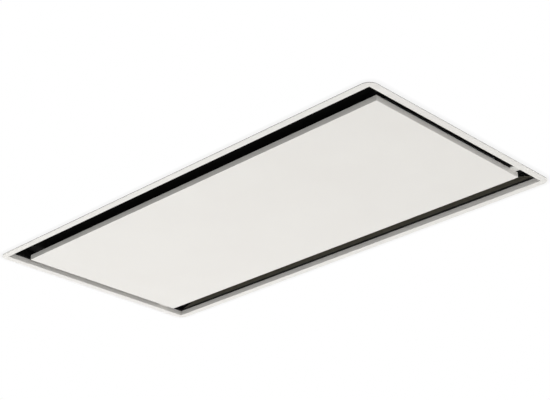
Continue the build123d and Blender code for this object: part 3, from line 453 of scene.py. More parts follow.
@dataclass(frozen=True)
class PowderCoat(Finish):
    """Baked polyester powder: even colour, with the faint waves called orange peel.

    Real waves are about 2 mm long, too fine for the render, so they are drawn longer and very low.
    """

    wave_mm: float = 7.0
    wave_detail: float = 2.0
    wave_depth: float = 0.00004
    relief: float = 0.35
    cloud_mm: float = 160.0
    cloud_colour: str = "#E4E3DF"

    def pattern(self, tree: Tree, place: Socket) -> dict[str, Socket]:
        """Add low waves, and a slow drift of tone from uneven film thickness.

        Args:
            tree: The material's node tree.
            place: Object coordinates, in metres.

        Returns:
            The shader's inputs that vary, each with what feeds it.
        """
        waves = add_node(
            tree, "TexNoise", {"Vector": place, "Scale": per_metre(self.wave_mm), "Detail": self.wave_detail}
        )
        bump = add_node(
            tree,
            "Bump",
            {"Height": waves.outputs["Fac"], "Strength": self.relief, "Distance": self.wave_depth},
        )
        clouds = add_node(tree, "TexNoise", {"Vector": place, "Scale": per_metre(self.cloud_mm)})
        tone = add_node(
            tree,
            "Mix",
            {"Factor": clouds.outputs["Fac"], 6: linear(self.colour), 7: linear(self.cloud_colour)},
            data_type="RGBA",
        )
        return {"Base Color": tone.outputs[2], "Normal": bump.outputs["Normal"]}


@dataclass(frozen=True)
class GalvanisedSteel(Finish):
    """Hot-dipped sheet: zinc crystals, the spangle, each with a tone and a gloss of its own."""

    spangle_mm: float = 8.0
    ragged_mm: float = 50 / 3  # three bends of an edge to 5 cm
    ragged_detail: float = 3.0
    ragged: float = 0.6
    dark: str = "#AFB3B5"
    light: str = "#C6C9CA"
    rough_low: float = 0.32
    rough_high: float = 0.48
    step: float = 0.0001
    relief: float = 0.15

    def pattern(self, tree: Tree, place: Socket) -> dict[str, Socket]:
        """Add crystals with ragged edges, each a little higher or lower than the next.

        Args:
            tree: The material's node tree.
            place: Object coordinates, in metres.

        Returns:
            The shader's inputs that vary, each with what feeds it.
        """
        drift = add_node(
            tree,
            "TexNoise",
            {"Vector": place, "Scale": per_metre(self.ragged_mm), "Detail": self.ragged_detail},
        )
        edge = add_node(
            tree,
            "VectorMath",
            {0: drift.outputs["Color"], "Scale": self.spangle_mm * MM * self.ragged},
            operation="SCALE",
        )
        bent = add_node(tree, "VectorMath", {0: place, 1: edge.outputs[0]}, operation="ADD")
        cells = add_node(
            tree, "TexVoronoi", {"Vector": bent.outputs[0], "Scale": per_metre(self.spangle_mm)}
        )
        chance = add_node(tree, "SeparateColor", {"Color": cells.outputs["Color"]})
        tone = add_node(
            tree,
            "Mix",
            {"Factor": chance.outputs[0], 6: linear(self.dark), 7: linear(self.light)},
            data_type="RGBA",
        )
        gloss = add_node(
            tree,
            "MapRange",
            {"Value": chance.outputs[1], "To Min": self.rough_low, "To Max": self.rough_high},
        )
        bump = add_node(
            tree, "Bump", {"Height": chance.outputs[2], "Strength": self.relief, "Distance": self.step}
        )
        return {
            "Base Color": tone.outputs[2],
            "Roughness": gloss.outputs["Result"],
            "Normal": bump.outputs["Normal"],
        }


@dataclass(frozen=True)
class FineGrain(Finish):
    """A surface whose gloss and height follow one fine grain.

    Real grain is finer than the render can show, so it is drawn as coarse as it needs to be seen.
    """

    grain_mm: float = 1.4
    detail: float = 5.0
    stretch: Triple = (1.0, 1.0, 1.0)
    depth: float = 0.00005
    relief: float = 0.3
    rough_spread: float = 0.06

    def pattern(self, tree: Tree, place: Socket) -> dict[str, Socket]:
        """Add the grain to the gloss and to the surface.

        Args:
            tree: The material's node tree.
            place: Object coordinates, in metres.

        Returns:
            The shader's inputs that vary, each with what feeds it.
        """
        along = add_node(tree, "Mapping", {"Vector": place, "Scale": self.stretch})
        grain = add_node(
            tree,
            "TexNoise",
            {"Vector": along.outputs[0], "Scale": per_metre(self.grain_mm), "Detail": self.detail},
        )
        gloss = add_node(
            tree,
            "MapRange",
            {
                "Value": grain.outputs["Fac"],
                "From Min": NOISE_LOW,
                "From Max": NOISE_HIGH,
                "To Min": self.roughness - self.rough_spread,
                "To Max": self.roughness + self.rough_spread,
            },
        )
        bump = add_node(
            tree, "Bump", {"Height": grain.outputs["Fac"], "Strength": self.relief, "Distance": self.depth}
        )
        return {"Roughness": gloss.outputs["Result"], "Normal": bump.outputs["Normal"]}


@dataclass(frozen=True)
class DrawnMetal(FineGrain):
    """Rolled, drawn or turned metal: fine lines that run one way draw its highlights out."""

    grain_mm: float = 0.6
    detail: float = 4.0
    stretch: Triple = (0.02, 1.0, 1.0)
    depth: float = 0.00003
    rough_spread: float = 0.12


@dataclass(frozen=True)
class MouldedPlastic(FineGrain):
    """Injection-moulded plastic or rubber: the grain of an eroded mould breaks its highlights up."""


@dataclass(frozen=True)
class KnittedFoil(Finish):
    """Layers of thin aluminium netting pressed together: a glitter of crossing wires over painted shade
    between them.
    """

    wire_mm: float = 3.0
    wire_edge: tuple[float, float] = (0.06, 0.2)
    wire_rise: float = 0.0004
    relief: float = 0.8
    # painted shade: the dark tone between the wires stands for the shade of the deeper layers
    gap_shade: str = "#4A4C4E"

    def pattern(self, tree: Tree, place: Socket) -> dict[str, Socket]:
        """Add crossing wires, bright on top, with painted shade between.

        Args:
            tree: The material's node tree.
            place: Object coordinates, in metres.

        Returns:
            The shader's inputs that vary, each with what feeds it.
        """
        cells = add_node(
            tree,
            "TexVoronoi",
            {"Vector": place, "Scale": per_metre(self.wire_mm)},
            feature="DISTANCE_TO_EDGE",
        )
        inner, outer = self.wire_edge
        wires = add_node(
            tree,
            "MapRange",
            {
                "Value": cells.outputs["Distance"],
                "From Min": inner,
                "From Max": outer,
                "To Min": 1.0,
                "To Max": 0.0,
            },
        )
        tone = add_node(
            tree,
            "Mix",
            {"Factor": wires.outputs["Result"], 6: linear(self.gap_shade), 7: linear(self.colour)},
            data_type="RGBA",
        )
        bump = add_node(
            tree,
            "Bump",
            {"Height": wires.outputs["Result"], "Strength": self.relief, "Distance": self.wire_rise},
        )
        return {"Base Color": tone.outputs[2], "Normal": bump.outputs["Normal"]}


@dataclass(frozen=True)
class CircuitBoard(Finish):
    """Glass-fibre laminate under green solder mask, with copper tracks that show through."""

    track: str = "#2E7A4A"
    net_mm: float = 25.0
    track_share: float = 0.03

    def pattern(self, tree: Tree, place: Socket) -> dict[str, Socket]:
        """Add tracks as a net of straight lines.

        Args:
            tree: The material's node tree.
            place: Object coordinates, in metres.

        Returns:
            The shader's inputs that vary, each with what feeds it.
        """
        tracks = add_node(
            tree,
            "TexBrick",
            {
                "Vector": place,
                "Color1": linear(self.colour),
                "Color2": linear(self.colour),
                "Mortar": linear(self.track),
                "Scale": per_metre(self.net_mm),
                "Mortar Size": self.track_share,
            },
        )
        return {"Base Color": tracks.outputs["Color"]}


class Surface(Enum):
    """Every finish on the hood."""

    # Baked powder on the sheets: a soft sheen on a slightly warm white.
    WHITE_COAT = PowderCoat("white_powder_coat", "white_paint", "#EDEBE8", 0.42, cloud_colour="#E9E6E3")
    # The small arms' coat with a clearer gleam, made whiter as painted light that lifts them out of the
    # shade beside the panel.
    WHITE_GLOSS = PowderCoat("white_gloss_coat_painted_light", "white_paint", "#F7F6F4", 0.25, cloud_colour="#F3F2F0")
    # Matt powder that throws next to nothing back, so the gaps look deep.
    BLACK_COAT = PowderCoat(
        "matt_black_powder_coat", "black_paint", "#131312", 0.85, specular=0.15, cloud_colour="#101010"
    )
    # Painted light on the liner's rear wall: a dull brownish grey, a step above the black, where light from
    # below falls on that black wall.
    DARK_COAT = PowderCoat("grey_coat_painted_light", "black_paint", "#6F6C61", 0.45, cloud_colour="#67645A")
    # Zinc-dipped sheet: pale grey flakes that catch the light one by one.
    ZINC_SHEET = GalvanisedSteel("hot_dipped_zinc_sheet", "galvanised_steel", "#A7AAAB", 0.42, 1.0)
    # Plated hardware: brighter and more even than the dipped sheet.
    ZINC_PLATE = DrawnMetal("bright_zinc_plating", "zinc_plated_steel", "#A6A8A6", 0.34, 1.0)
    # Aluminium as it leaves the mill: silvery, with the fine lines of rolling.
    MILL_ALUMINIUM = DrawnMetal("mill_finish_aluminium", "aluminium", "#D2D4D6", 0.36, 1.0)
    # The filters' mesh packs: bright wires, with painted shade between them.
    FOIL = KnittedFoil("knitted_aluminium_foil", "aluminium_foil", "#C9CCCE", 0.36, 1.0)
    # Turned shell and shaft of the motor: darker, with fine lines along its axis.
    MOTOR_STEEL = DrawnMetal("turned_steel", "motor_steel", "#7F8286", 0.38, 1.0, stretch=(1.0, 1.0, 0.05))
    # ABS from an eroded mould: soft highlights on black.
    BLACK_PLASTIC = MouldedPlastic("moulded_black_abs", "black_plastic", "#202122", 0.48)
    # The same in grey, on latches and on the motor lead.
    GREY_PLASTIC = MouldedPlastic("moulded_grey_abs", "grey_plastic", "#7C7F82", 0.45)
    # Nylon: a milky white, a little glossier than ABS.
    WHITE_NYLON = MouldedPlastic("moulded_white_nylon", "white_nylon", "#DDDCD5", 0.4)
    # Rubber: almost no highlight.
    RUBBER = MouldedPlastic("cast_rubber", "rubber", "#191919", 0.75, grain_mm=2.0)
    # Board under its mask: glossy green with paler lines.
    BOARD = CircuitBoard("glass_fibre_laminate", "green_laminate", "#1C5B36", 0.32)

    def on_nodes(self, *nodes: str) -> None:
        """Dress CAD nodes that keep their own shape."""
        self.value.dress(*(bpy.data.objects[node] for node in nodes))

    def on_piece(self, piece: Piece, body: str, *nodes: str) -> None:
        """Dress a new piece, and tie it to its body and to what it replaces.

        Args:
            piece: The finished piece.
            body: The body that it rides on.
            *nodes: CAD nodes that it replaces, if any.
        """
        self.value.dress(piece)
        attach(piece, body)
        if nodes:
            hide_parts(*nodes)
        LOG.info("%s rides on %s", piece.name, body)


# ---------------- room, light and camera
@dataclass(frozen=True)
class Lamp:
    """A soft round lamp that faces the hood and isn't seen itself."""

    name: str
    place: Triple
    size: float
    power: float

    def hang(self) -> None:
        """Make the lamp and put it in its place."""
        light = bpy.data.lights.new(self.name, "AREA")
        light.shape = "DISK"
        light.size = self.size
        light.energy = self.power
        seat = bpy.data.objects.new(self.name, light)
        bpy.context.scene.collection.objects.link(seat)
        seat.location = self.place
        seat.rotation_mode = "QUATERNION"
        seat.rotation_quaternion = Vector(self.place).to_track_quat("Z", "Y")
        seat.visible_camera = False


@dataclass
class Studio:
    """The photograph's viewpoint, a white ceiling round the hood, a pale floor and soft light."""

    azimuth: float = 44.49
    elevation: float = -25.64
    roll: float = -0.06
    distance: float = 2.522
    target: Triple = (0.0878, -0.0443, -0.0004)
    focal_px: float = 1353.0
    frame_px: float = 550.0
    sensor_mm: float = 36.0
    room: float = 14.0
    flange: tuple[float, float] = (1.0, 0.5)
    cut_out: tuple[float, float] = (0.981, 0.481)
    ceiling_gap: float = 0.00075
    floor_drop: float = 2.4
    wall_colour: str = "#F2F2F0"
    shade_corner: float = 0.018
    shade_reach: float = 0.012
    shade_low: float = 0.88
    horizon: float = 0.3
    bright_from: float = 0.6
    soft_light: float = 0.9
    lamps: tuple[Lamp, ...] = (
        Lamp("lamp_below", (-1.0, 0.1, -1.9), 1.2, 15.5),
        Lamp("lamp_side", (2.2, 0.1, -1.4), 1.2, 8.0),
        Lamp("lamp_above", (-1.4, -1.8, 2.2), 1.6, 42.0),
        Lamp("lamp_behind", (1.7, 1.8, 1.5), 1.2, 22.0),
    )

    def camera(self) -> None:
        """Place the camera at the photograph's angle."""
        a, e, r = (math.radians(v) for v in (self.azimuth, self.elevation, self.roll))
        back = Vector((math.sin(a) * math.cos(e), -math.cos(a) * math.cos(e), math.sin(e)))
        right = UPWARD.cross(back).normalized()
        up = back.cross(right)
        across = math.cos(r) * right + math.sin(r) * up
        upward = -math.sin(r) * right + math.cos(r) * up
        lens = bpy.data.cameras.new("camera")
        lens.sensor_width = self.sensor_mm
        lens.lens = self.focal_px * self.sensor_mm / self.frame_px
        seat = bpy.data.objects.new("camera", lens)
        bpy.context.scene.collection.objects.link(seat)
        turn = Matrix((across, upward, back)).transposed().to_4x4()
        seat.matrix_world = Matrix.Translation(Vector(self.target) + back * self.distance) @ turn
        bpy.context.scene.camera = seat

    def world(self) -> None:
        """Make the surroundings white where they are seen, softer as light, and dim at a gloss's horizon."""
        world = bpy.data.worlds.new("room")
        bpy.context.scene.world = world
        world.use_nodes = True
        tree = world.node_tree
        tree.nodes.clear()
        path = add_node(tree, "LightPath")
        heading = add_node(tree, "TexCoord").outputs["Generated"]
        rise = add_node(tree, "SeparateXYZ", {0: heading}).outputs["Z"]
        steep = add_node(tree, "Math", {0: rise}, operation="ABSOLUTE")
        gleam = add_node(
            tree,
            "MapRange",
            {"Value": steep.outputs[0], "From Max": self.bright_from, "To Min": self.horizon},
        )
        plain = add_node(tree, "Math", {0: path.outputs["Is Glossy Ray"], 1: 1.0}, operation="LESS_THAN")
        level = add_node(
            tree, "Math", {0: plain.outputs[0], 1: gleam.outputs["Result"]}, operation="MAXIMUM"
        )
        soft = add_node(tree, "Background", {"Color": linear(WHITE), "Strength": self.soft_light})
        white = add_node(tree, "Background", {"Color": linear(WHITE), "Strength": level.outputs[0]})
        mix = add_node(
            tree, "MixShader", {0: seen_rays(tree, path), 1: soft.outputs[0], 2: white.outputs[0]}
        )
        add_node(tree, "OutputWorld", {"Surface": mix.outputs[0]})

    def backdrop(self) -> Paint:
        """Mix matt white wall paint, which throws soft light and looks white where it is seen, apart from a
        painted shadow close to the flange.

        Returns:
            The paint, which shows from its front alone.
        """
        made = bpy.data.materials.new("matt_white_wall_paint")
        made.use_nodes = True
        tree = made.node_tree
        tree.nodes.clear()
        path = add_node(tree, "LightPath")
        paint = add_node(tree, "BsdfDiffuse", {"Color": linear(self.wall_colour)})
        # painted shadow: the emission dims close to the flange
        white = add_node(tree, "Emission", {"Color": linear(WHITE), "Strength": self.contact_shade(tree)})
        clear = add_node(tree, "BsdfTransparent")
        front = add_node(
            tree, "MixShader", {0: seen_rays(tree, path), 1: paint.outputs[0], 2: white.outputs[0]}
        )
        side = add_node(tree, "NewGeometry")
        mix = add_node(
            tree, "MixShader", {0: side.outputs["Backfacing"], 1: front.outputs[0], 2: clear.outputs[0]}
        )
        add_node(tree, "OutputMaterial", {"Surface": mix.outputs[0]})
        return made

    def contact_shade(self, tree: Tree) -> Socket:
        """Work out how much the hood's flange darkens the ceiling close to its edge.

        Args:
            tree: Node tree of the ceiling's paint.

        Returns:
            The socket that carries the brightness, one where nothing is near.
        """
        edge = [side / 2 - self.shade_corner for side in self.flange]
        place = add_node(tree, "NewGeometry").outputs["Position"]
        mirrored = add_node(tree, "VectorMath", {0: place}, operation="ABSOLUTE")
        beyond = add_node(
            tree, "VectorMath", {0: mirrored.outputs[0], 1: (*edge, 0.0)}, operation="SUBTRACT"
        )
        outside = add_node(
            tree, "VectorMath", {0: beyond.outputs[0], 1: (0.0, 0.0, 0.0)}, operation="MAXIMUM"
        )
        away = add_node(tree, "VectorMath", {0: outside.outputs[0]}, operation="LENGTH")
        shade = add_node(
            tree,
            "MapRange",
            {
                "Value": away.outputs["Value"],
                "From Min": self.shade_corner,
                "From Max": self.shade_corner + self.shade_reach,
                "To Min": self.shade_low,
            },
        )
        return shade.outputs["Result"]

    def ceiling(self, paint: Paint) -> None:
        """Make a ceiling that faces down, with the hood's cut-out.

        Args:
            paint: The ceiling's finish.
        """
        ceiling = plate(self.cut_out, self.ceiling_gap)
        ceiling.name = "room_ceiling"
        factor = self.room / self.cut_out[0]
        with editing(ceiling):
            bpy.ops.mesh.flip_normals()
            bpy.ops.mesh.select_mode(type="EDGE")
            bpy.ops.mesh.select_all(action="SELECT")
            bpy.ops.mesh.extrude_edges_move()
            bpy.ops.transform.resize(value=(factor, factor, 1), center_override=(0, 0, 0))
        with editing(ceiling, [f.index for f in ceiling.data.polygons if f.center.xy.length < SAME_PLACE]):
            bpy.ops.mesh.delete(type="ONLY_FACE")
        if any(face.normal.z > 0 for face in ceiling.data.polygons):
            ceiling.data.flip_normals()
        ceiling.data.materials.append(paint)

    def floor(self, paint: Paint) -> None:
        """Make a floor that faces up, a room's height below.

        Args:
            paint: The floor's finish.
        """
        floor = plate((self.room, self.room), -self.floor_drop)
        floor.name = "room_floor"
        floor.data.materials.append(paint)

    def build(self) -> None:
        """Make everything that isn't the hood."""
        self.camera()
        self.world()
        paint = self.backdrop()
        self.ceiling(paint)
        self.floor(paint)
        for lamp in self.lamps:
            lamp.hang()


# ---------------- screws
class Drive(Enum):
    """Which way a screw's head faces."""

    UP = Matrix.Identity(4)
    DOWN = Matrix.Rotation(2 * QUARTER, 4, "X")
    REAR = Matrix.Rotation(-QUARTER, 4, "X")


@dataclass
class PanHeadScrew:
    """A pan-head screw with a cross recess, modelled once for all places of its size.

    The crown and the recess are shares of the head, so that every size has the same look.
    """

    head_r: float = 0.004
    head: float = 0.0024
    shank_r: float = 0.002
    length: float = 0.008
    sides: int = 32
    crown: float = 0.45
    recess_long: float = 1.15
    recess_wide: float = 0.24
    recess_high: float = 0.9
    smooth_under: float = 35.0
    next_turn: float = 37.0

    def template(self) -> Piece:
        """Model the screw, its seat at the origin and its head upwards.

        Returns:
            The screw, to be copied.
        """
        screw = rod(self.head_r, self.head, self.sides, (0, 0, self.head / 2))
        with editing(screw, faces_towards(screw, UPWARD)):
            bpy.ops.mesh.bevel(offset=self.head * self.crown, segments=4, affect="EDGES")
        long, wide = self.head_r * self.recess_long, self.head_r * self.recess_wide
        for turn in (0, QUARTER):
            arm = block((long, wide, self.head * self.recess_high), (0, 0, self.head))
            arm.rotation_euler = (0, 0, turn)
            apply_place(arm)
            carve(screw, arm)
        shank = rod(self.shank_r, self.length, self.sides // 2, (0, 0, -self.length / 2))
        whole = joined([screw, shank], "screw_template")
        smooth(whole, self.smooth_under)
        return whole

    def fit(self, node: str, facing: Drive, finish: Surface) -> None:
        """Put a screw at each solid of a CAD node.

        Args:
            node: The node of plain screws that these replace.
            facing: Which way the heads point.
            finish: The screws' finish.
        """
        places = []
        for number, (low, high) in enumerate(islands(node)):
            seat = (low + high) / 2
            if facing is Drive.UP:
                seat.z = high.z - self.head
            elif facing is Drive.DOWN:
                seat.z = low.z + self.head
            else:
                seat.y = high.y - self.head
            turn = Matrix.Rotation(math.radians(self.next_turn * number), 4, "Z")
            places.append(Matrix.Translation(seat) @ facing.value @ turn)
        finish.on_piece(repeated(self.template(), places, f"{node}_cross_head"), "hood", node)


# ---------------- sub-assemblies
class SubAssembly(Protocol):
    """What every sub-assembly of the hood can do."""

    def build(self) -> None:
        """Make the sub-assembly's pieces and dress them."""


@dataclass
class FrameAndPanel:
    """White ceiling frame with a foam gasket whose dark edge is also a painted shadow line under the flange,
    and the white panel that hangs in it.
    """

    gasket_shade_line_inset: float = 0.00015
    gasket_width: float = 0.009
    gasket_sheet: float = 0.0007
    gasket_corner: float = 0.01785

    def gasket(self) -> Piece:
        """Model the thin foam gasket between the flange and the ceiling; its dark edge, just inside the
        flange's, is also a painted shadow line.

        Returns:
            The seal, without a finish.
        """
        low, high = extent("ceiling_frame")
        ring = plate((high - low).xy - Vector((2, 2)) * self.gasket_shade_line_inset)
        ring.name = "flange_gasket"
        with editing(ring):
            bpy.ops.mesh.bevel(offset=self.gasket_corner, segments=10, affect="VERTICES")
            bpy.ops.mesh.select_all(action="SELECT")
            bpy.ops.mesh.inset(thickness=self.gasket_width)
            bpy.ops.mesh.delete(type="FACE")
        foam = ring.modifiers.new("foam", "SOLIDIFY")
        foam.thickness = self.gasket_sheet
        foam.offset = 1
        apply_modifiers(ring)
        return ring

    def build(self) -> None:
        """Dress the painted sheets and their small steel pieces, and add the gasket, whose dark edge is also
        a painted shadow line.
        """
        Surface.WHITE_COAT.on_nodes("ceiling_frame", "panel_tray", "panel_back_plate")
        # Painted light: the arms' whiter coat makes up for the shade beside the panel.
        Surface.WHITE_GLOSS.on_nodes("hinge_arm_left", "hinge_arm_right")
        # A real foam gasket, and also painted shade: its dark edge draws the shadow line under the flange's
        # rim.
        Surface.RUBBER.on_piece(self.gasket(), "hood")
        Surface.ZINC_SHEET.on_nodes("stiffener_front", "stiffener_rear")
        Surface.ZINC_PLATE.on_nodes("striker_plates", "hinge_pins")
        Surface.MILL_ALUMINIUM.on_nodes("panel_rivets")
        Surface.WHITE_NYLON.on_nodes("hinge_bushes")


@dataclass
class Liner:
    """Black liner with its brackets and catches, a black band of painted shade round its foot and a grey
    strip of painted light at the rear.
    """

    sheet: float = 0.001
    # the black band round the skirt's foot is painted shade above the frame's return
    shade_band_height: float = 0.0035
    shade_band_sheet: float = 0.0005
    # the grey strip is painted light on the black rear wall; its slanted ends follow the painted shadow near
    # the corners
    painted_light_sheet: float = 0.0002
    painted_light_end: float = 0.006
    shadow_slant: float = 0.056

    def facing(self, half: tuple[float, float], levels: tuple[float, float]) -> Piece:
        """Model the strip of painted light on the skirt's rear wall, whose ends are cut at a slant that
        follows the painted shadow near the corners.

        Args:
            half: Half the skirt's inner length and width.
            levels: Heights of the strip's lower and upper edge.

        Returns:
            The strip, without a finish.
        """
        reach = half[0] - self.painted_light_end
        strip = block(
            (2 * reach, self.painted_light_sheet, levels[1] - levels[0]),
            (0, half[1] - self.painted_light_sheet / 2, sum(levels) / 2),
        )
        strip.name = "skirt_facing"
        with editing(strip, faces_towards(strip, UPWARD)):
            bpy.ops.transform.resize(value=(1 - self.shadow_slant / reach, 1, 1))
        return strip

    def build(self) -> None:
        """Dress the pieces behind the panel, and paint the skirt's light and shade: a black band at its
        foot, a grey strip above.
        """
        Surface.BLACK_COAT.on_nodes("filter_deck")
        Surface.WHITE_COAT.on_nodes("hinge_bracket_left", "hinge_bracket_right")
        low, high = extent("filter_deck")
        half = (high.x - self.sheet, high.y - self.sheet)
        seam = low.z + self.shade_band_height
        # Painted shade: a black rubber band round the skirt's foot, dark as the shade just above the frame's
        # return.
        shade_band = band("liner_seal", half, (low.z, seam), self.shade_band_sheet)
        Surface.RUBBER.on_piece(shade_band, "hood")
        # Painted light: a grey strip where light from below falls on the black rear wall.
        Surface.DARK_COAT.on_piece(self.facing(half, (seam, high.z - self.sheet)), "hood")
        Surface.BLACK_PLASTIC.on_nodes("magnet_catches")
        PanHeadScrew(length=0.006).fit("deck_screws", Drive.DOWN, Surface.ZINC_PLATE)


@dataclass
class GreaseFilters:
    """Three aluminium filters: frame, pleated foil, a face of expanded metal and a latch."""

    side_bar: float = 0.014
    front_bar: float = 0.032
    rear_bar: float = 0.0205
    face_rise: float = 0.0009
    diamond: tuple[float, float] = (0.012, 0.007)
    strand: float = 0.0009
    recess_y: float = 0.0128
    recess_depth: float = 0.002
    ridge_r: float = 0.0007
    ridge_edge: float = 0.6
    ridge_length: float = 0.024
    ridge_pitch: float = 0.0026
    ridges: int = 4

    def latch_ridges(self, number: int) -> Piece:
        """Model the ridges that a finger pulls on, across the floor of a latch's recess.

        Args:
            number: The filter's number.

        Returns:
            The ridges, without a finish.
        """
        low, high = extent(f"filter_latch_{number}")
        ridge = rod(self.ridge_r, self.ridge_length, sides=12)
        ridge.rotation_euler = (0, QUARTER, 0)
        apply_place(ridge)
        with editing(ridge, faces_towards(ridge, ENDWAYS, -ENDWAYS)):
            bpy.ops.mesh.bevel(offset=self.ridge_r * self.ridge_edge, segments=2, affect="EDGES")
        first = Vector(((low.x + high.x) / 2, high.y - self.recess_y, low.z + self.recess_depth))
        steps = [first + Vector((0, self.ridge_pitch * k, 0)) for k in range(self.ridges)]
        return repeated(ridge, [Matrix.Translation(step) for step in steps], f"latch_ridges_{number}")

    def grille(self, low: Vector, high: Vector, number: int) -> Piece:
        """Weave one face of expanded metal inside a frame.

        Args:
            low: The frame's lowest corner.
            high: The frame's highest corner.
            number: The filter's number, for the name.

        Returns:
            The face, in its place and without a finish.
        """
        x0, x1 = low.x + self.side_bar, high.x - self.side_bar
        y0, y1 = low.y + self.front_bar, high.y - self.rear_bar
        side = self.diamond[0] / math.sqrt(2)
        squeeze = self.diamond[1] / self.diamond[0]
        count = math.ceil(((x1 - x0) + (y1 - y0) / squeeze) / self.diamond[0])
        deselect_all()
        bpy.ops.mesh.primitive_grid_add(x_subdivisions=count, y_subdivisions=count, size=count * side)
        grille = bpy.context.object
        grille.name = f"filter_grille_{number}"
        grille.rotation_euler = (0, 0, QUARTER / 2)
        apply_place(grille)
        grille.scale = (1, squeeze, 1)
        grille.location = ((x0 + x1) / 2, (y0 + y1) / 2, low.z + self.face_rise)
        apply_place(grille)
        trims = (
            ((x0, 0, 0), (-1, 0, 0)),
            ((x1, 0, 0), (1, 0, 0)),
            ((0, y0, 0), (0, -1, 0)),
            ((0, y1, 0), (0, 1, 0)),
        )
        with editing(grille):
            for point, outwards in trims:
                bpy.ops.mesh.select_all(action="SELECT")
                bpy.ops.mesh.bisect(plane_co=point, plane_no=outwards, clear_outer=True)
        strands = grille.modifiers.new("strands", "WIREFRAME")
        strands.thickness = self.strand
        strands.use_even_offset = False
        apply_modifiers(grille)
        return grille

    def build(self) -> None:
        """Dress the filters, and add their faces and the ridges of their latches."""
        Surface.MILL_ALUMINIUM.on_nodes("filter_frames")
        Surface.FOIL.on_nodes("filter_meshes")
        for number, (low, high) in enumerate(islands("filter_frames"), 1):
            Surface.GREY_PLASTIC.on_nodes(f"filter_latch_{number}")
            Surface.MILL_ALUMINIUM.on_piece(self.grille(low, high, number), "hood")
            Surface.GREY_PLASTIC.on_piece(self.latch_ridges(number), f"latch_{number}")


@dataclass
class Casing:
    """Galvanised casing with its top, hanging brackets and screws, and the marks of its spot welds.

    A mark's ring, wall and dent are shares of its radius and of its rise.
    """

    weld_r: float = 0.0034
    weld_rise: float = 0.00025
    weld_sides: int = 12
    weld_ring: float = 0.3
    weld_wall: float = 0.2
    weld_dent: float = 0.9
    weld_row: float = 0.0065
    weld_margin: float = 0.012
    long_welds: int = 17
    short_welds: int = 8
    corner_welds: int = 6

    def weld(self) -> Piece:
        """Model one weld's mark: a low ring round a flat dent, facing up.

        Returns:
            The mark, to be copied.
        """
        mark = rod(self.weld_r, 2 * self.weld_rise, self.weld_sides)
        with editing(mark, faces_towards(mark, UPWARD)):
            bpy.ops.mesh.inset(thickness=self.weld_r * self.weld_ring)
            bpy.ops.mesh.inset(thickness=self.weld_r * self.weld_wall)
            bpy.ops.transform.translate(value=(0, 0, -self.weld_rise * self.weld_dent))
        return mark

    def weld_places(self) -> list[Matrix]:
        """Find each weld: a row along the foot of every wall, and one up both ends of the long walls.

        Returns:
            Where each mark goes, turned to face out of its wall.
        """
        (x0, y0, z0), (x1, y1, z1) = extent("casing_front")[0], extent("casing_rear")[1]
        reach_x, reach_y = x1 - self.weld_margin, y1 - self.weld_margin
        foot = z0 + self.weld_row
        spots = [(reach_x * share, foot) for share in evenly(self.long_welds)]
        for k in range(1, self.corner_welds + 1):
            rise = foot + (z1 - foot) * k / (self.corner_welds + 1)
            spots += [(-reach_x, rise), (reach_x, rise)]
        places = []
        for along, rise in spots:
            for wall, turn in ((y0, QUARTER), (y1, -QUARTER)):
                places.append(Matrix.Translation((along, wall, rise)) @ Matrix.Rotation(turn, 4, "X"))
        for share in evenly(self.short_welds):
            for wall, turn in ((x0, -QUARTER), (x1, QUARTER)):
                spot = Matrix.Translation((wall, reach_y * share, foot))
                places.append(spot @ Matrix.Rotation(turn, 4, "Y"))
        return places

    def build(self) -> None:
        """Dress the casing and mark its welds."""
        Surface.ZINC_SHEET.on_piece(repeated(self.weld(), self.weld_places(), "spot_welds"), "hood")
        Surface.ZINC_SHEET.on_nodes("casing_front", "casing_rear", "casing_ends", "casing_top")
        Surface.ZINC_PLATE.on_nodes("hanging_brackets")
        for node in ("casing_screws", "hanger_screws"):
            PanHeadScrew().fit(node, Drive.UP, Surface.ZINC_PLATE)


@dataclass
class Blower:
    """Scroll, impeller, motor and what carries them, on waisted rubber mounts.

    The waist is a list of levels, as shares of a mount's height from its middle, each with its width.
    """

    waist: tuple[tuple[float, float], ...] = (
        (-0.3, 1.0),
        (-0.15, 0.9),
        (0.0, 0.8),
        (0.15, 0.9),
        (0.3, 1.0),
    )
    bolt_r: float = 0.003
    smooth_under: float = 40.0

    def mounts(self) -> Piece:
        """Model the rubber mounts, each drawn in at its middle and bored for its bolt.

        Returns:
            All the mounts as one piece, without a finish.
        """
        blocks = islands("blower_isolators")
        low, high = blocks[0]
        height = high.z - low.z
        mount = rod((high.x - low.x) / 2, height, sides=32)
        with editing(mount):
            for level, _ in self.waist:
                bpy.ops.mesh.select_all(action="SELECT")
                bpy.ops.mesh.bisect(plane_co=(0, 0, level * height), plane_no=UPWARD)
        for vertex in mount.data.vertices:
            for level, width in self.waist:
                if abs(vertex.co.z - level * height) < SAME_PLACE:
                    vertex.co.xy *= width
        carve(mount, rod(self.bolt_r, 2 * height, sides=24))
        smooth(mount, self.smooth_under)
        places = [Matrix.Translation((low + high) / 2) for low, high in blocks]
        return repeated(mount, places, "waisted_rubber_mounts")

    def build(self) -> None:
        """Dress the blower and fit its rubber mounts."""
        Surface.RUBBER.on_piece(self.mounts(), "hood", "blower_isolators")
        Surface.ZINC_SHEET.on_nodes(
            "blower_base", "blower_cover", "inlet_ring", "outlet_transition", "impeller"
        )
        Surface.MOTOR_STEEL.on_nodes("motor", "motor_rotor")
        Surface.ZINC_PLATE.on_nodes("impeller_nut", "motor_bearings", "blower_standoffs", "blower_bolts")
        Surface.ZINC_PLATE.on_nodes("capacitor_clip", "lead_clips")
        Surface.MILL_ALUMINIUM.on_nodes("run_capacitor")
        Surface.GREY_PLASTIC.on_nodes("motor_lead")
        PanHeadScrew().fit("motor_screws", Drive.UP, Surface.ZINC_PLATE)
        PanHeadScrew(length=0.0044).fit("clip_screws", Drive.DOWN, Surface.ZINC_PLATE)


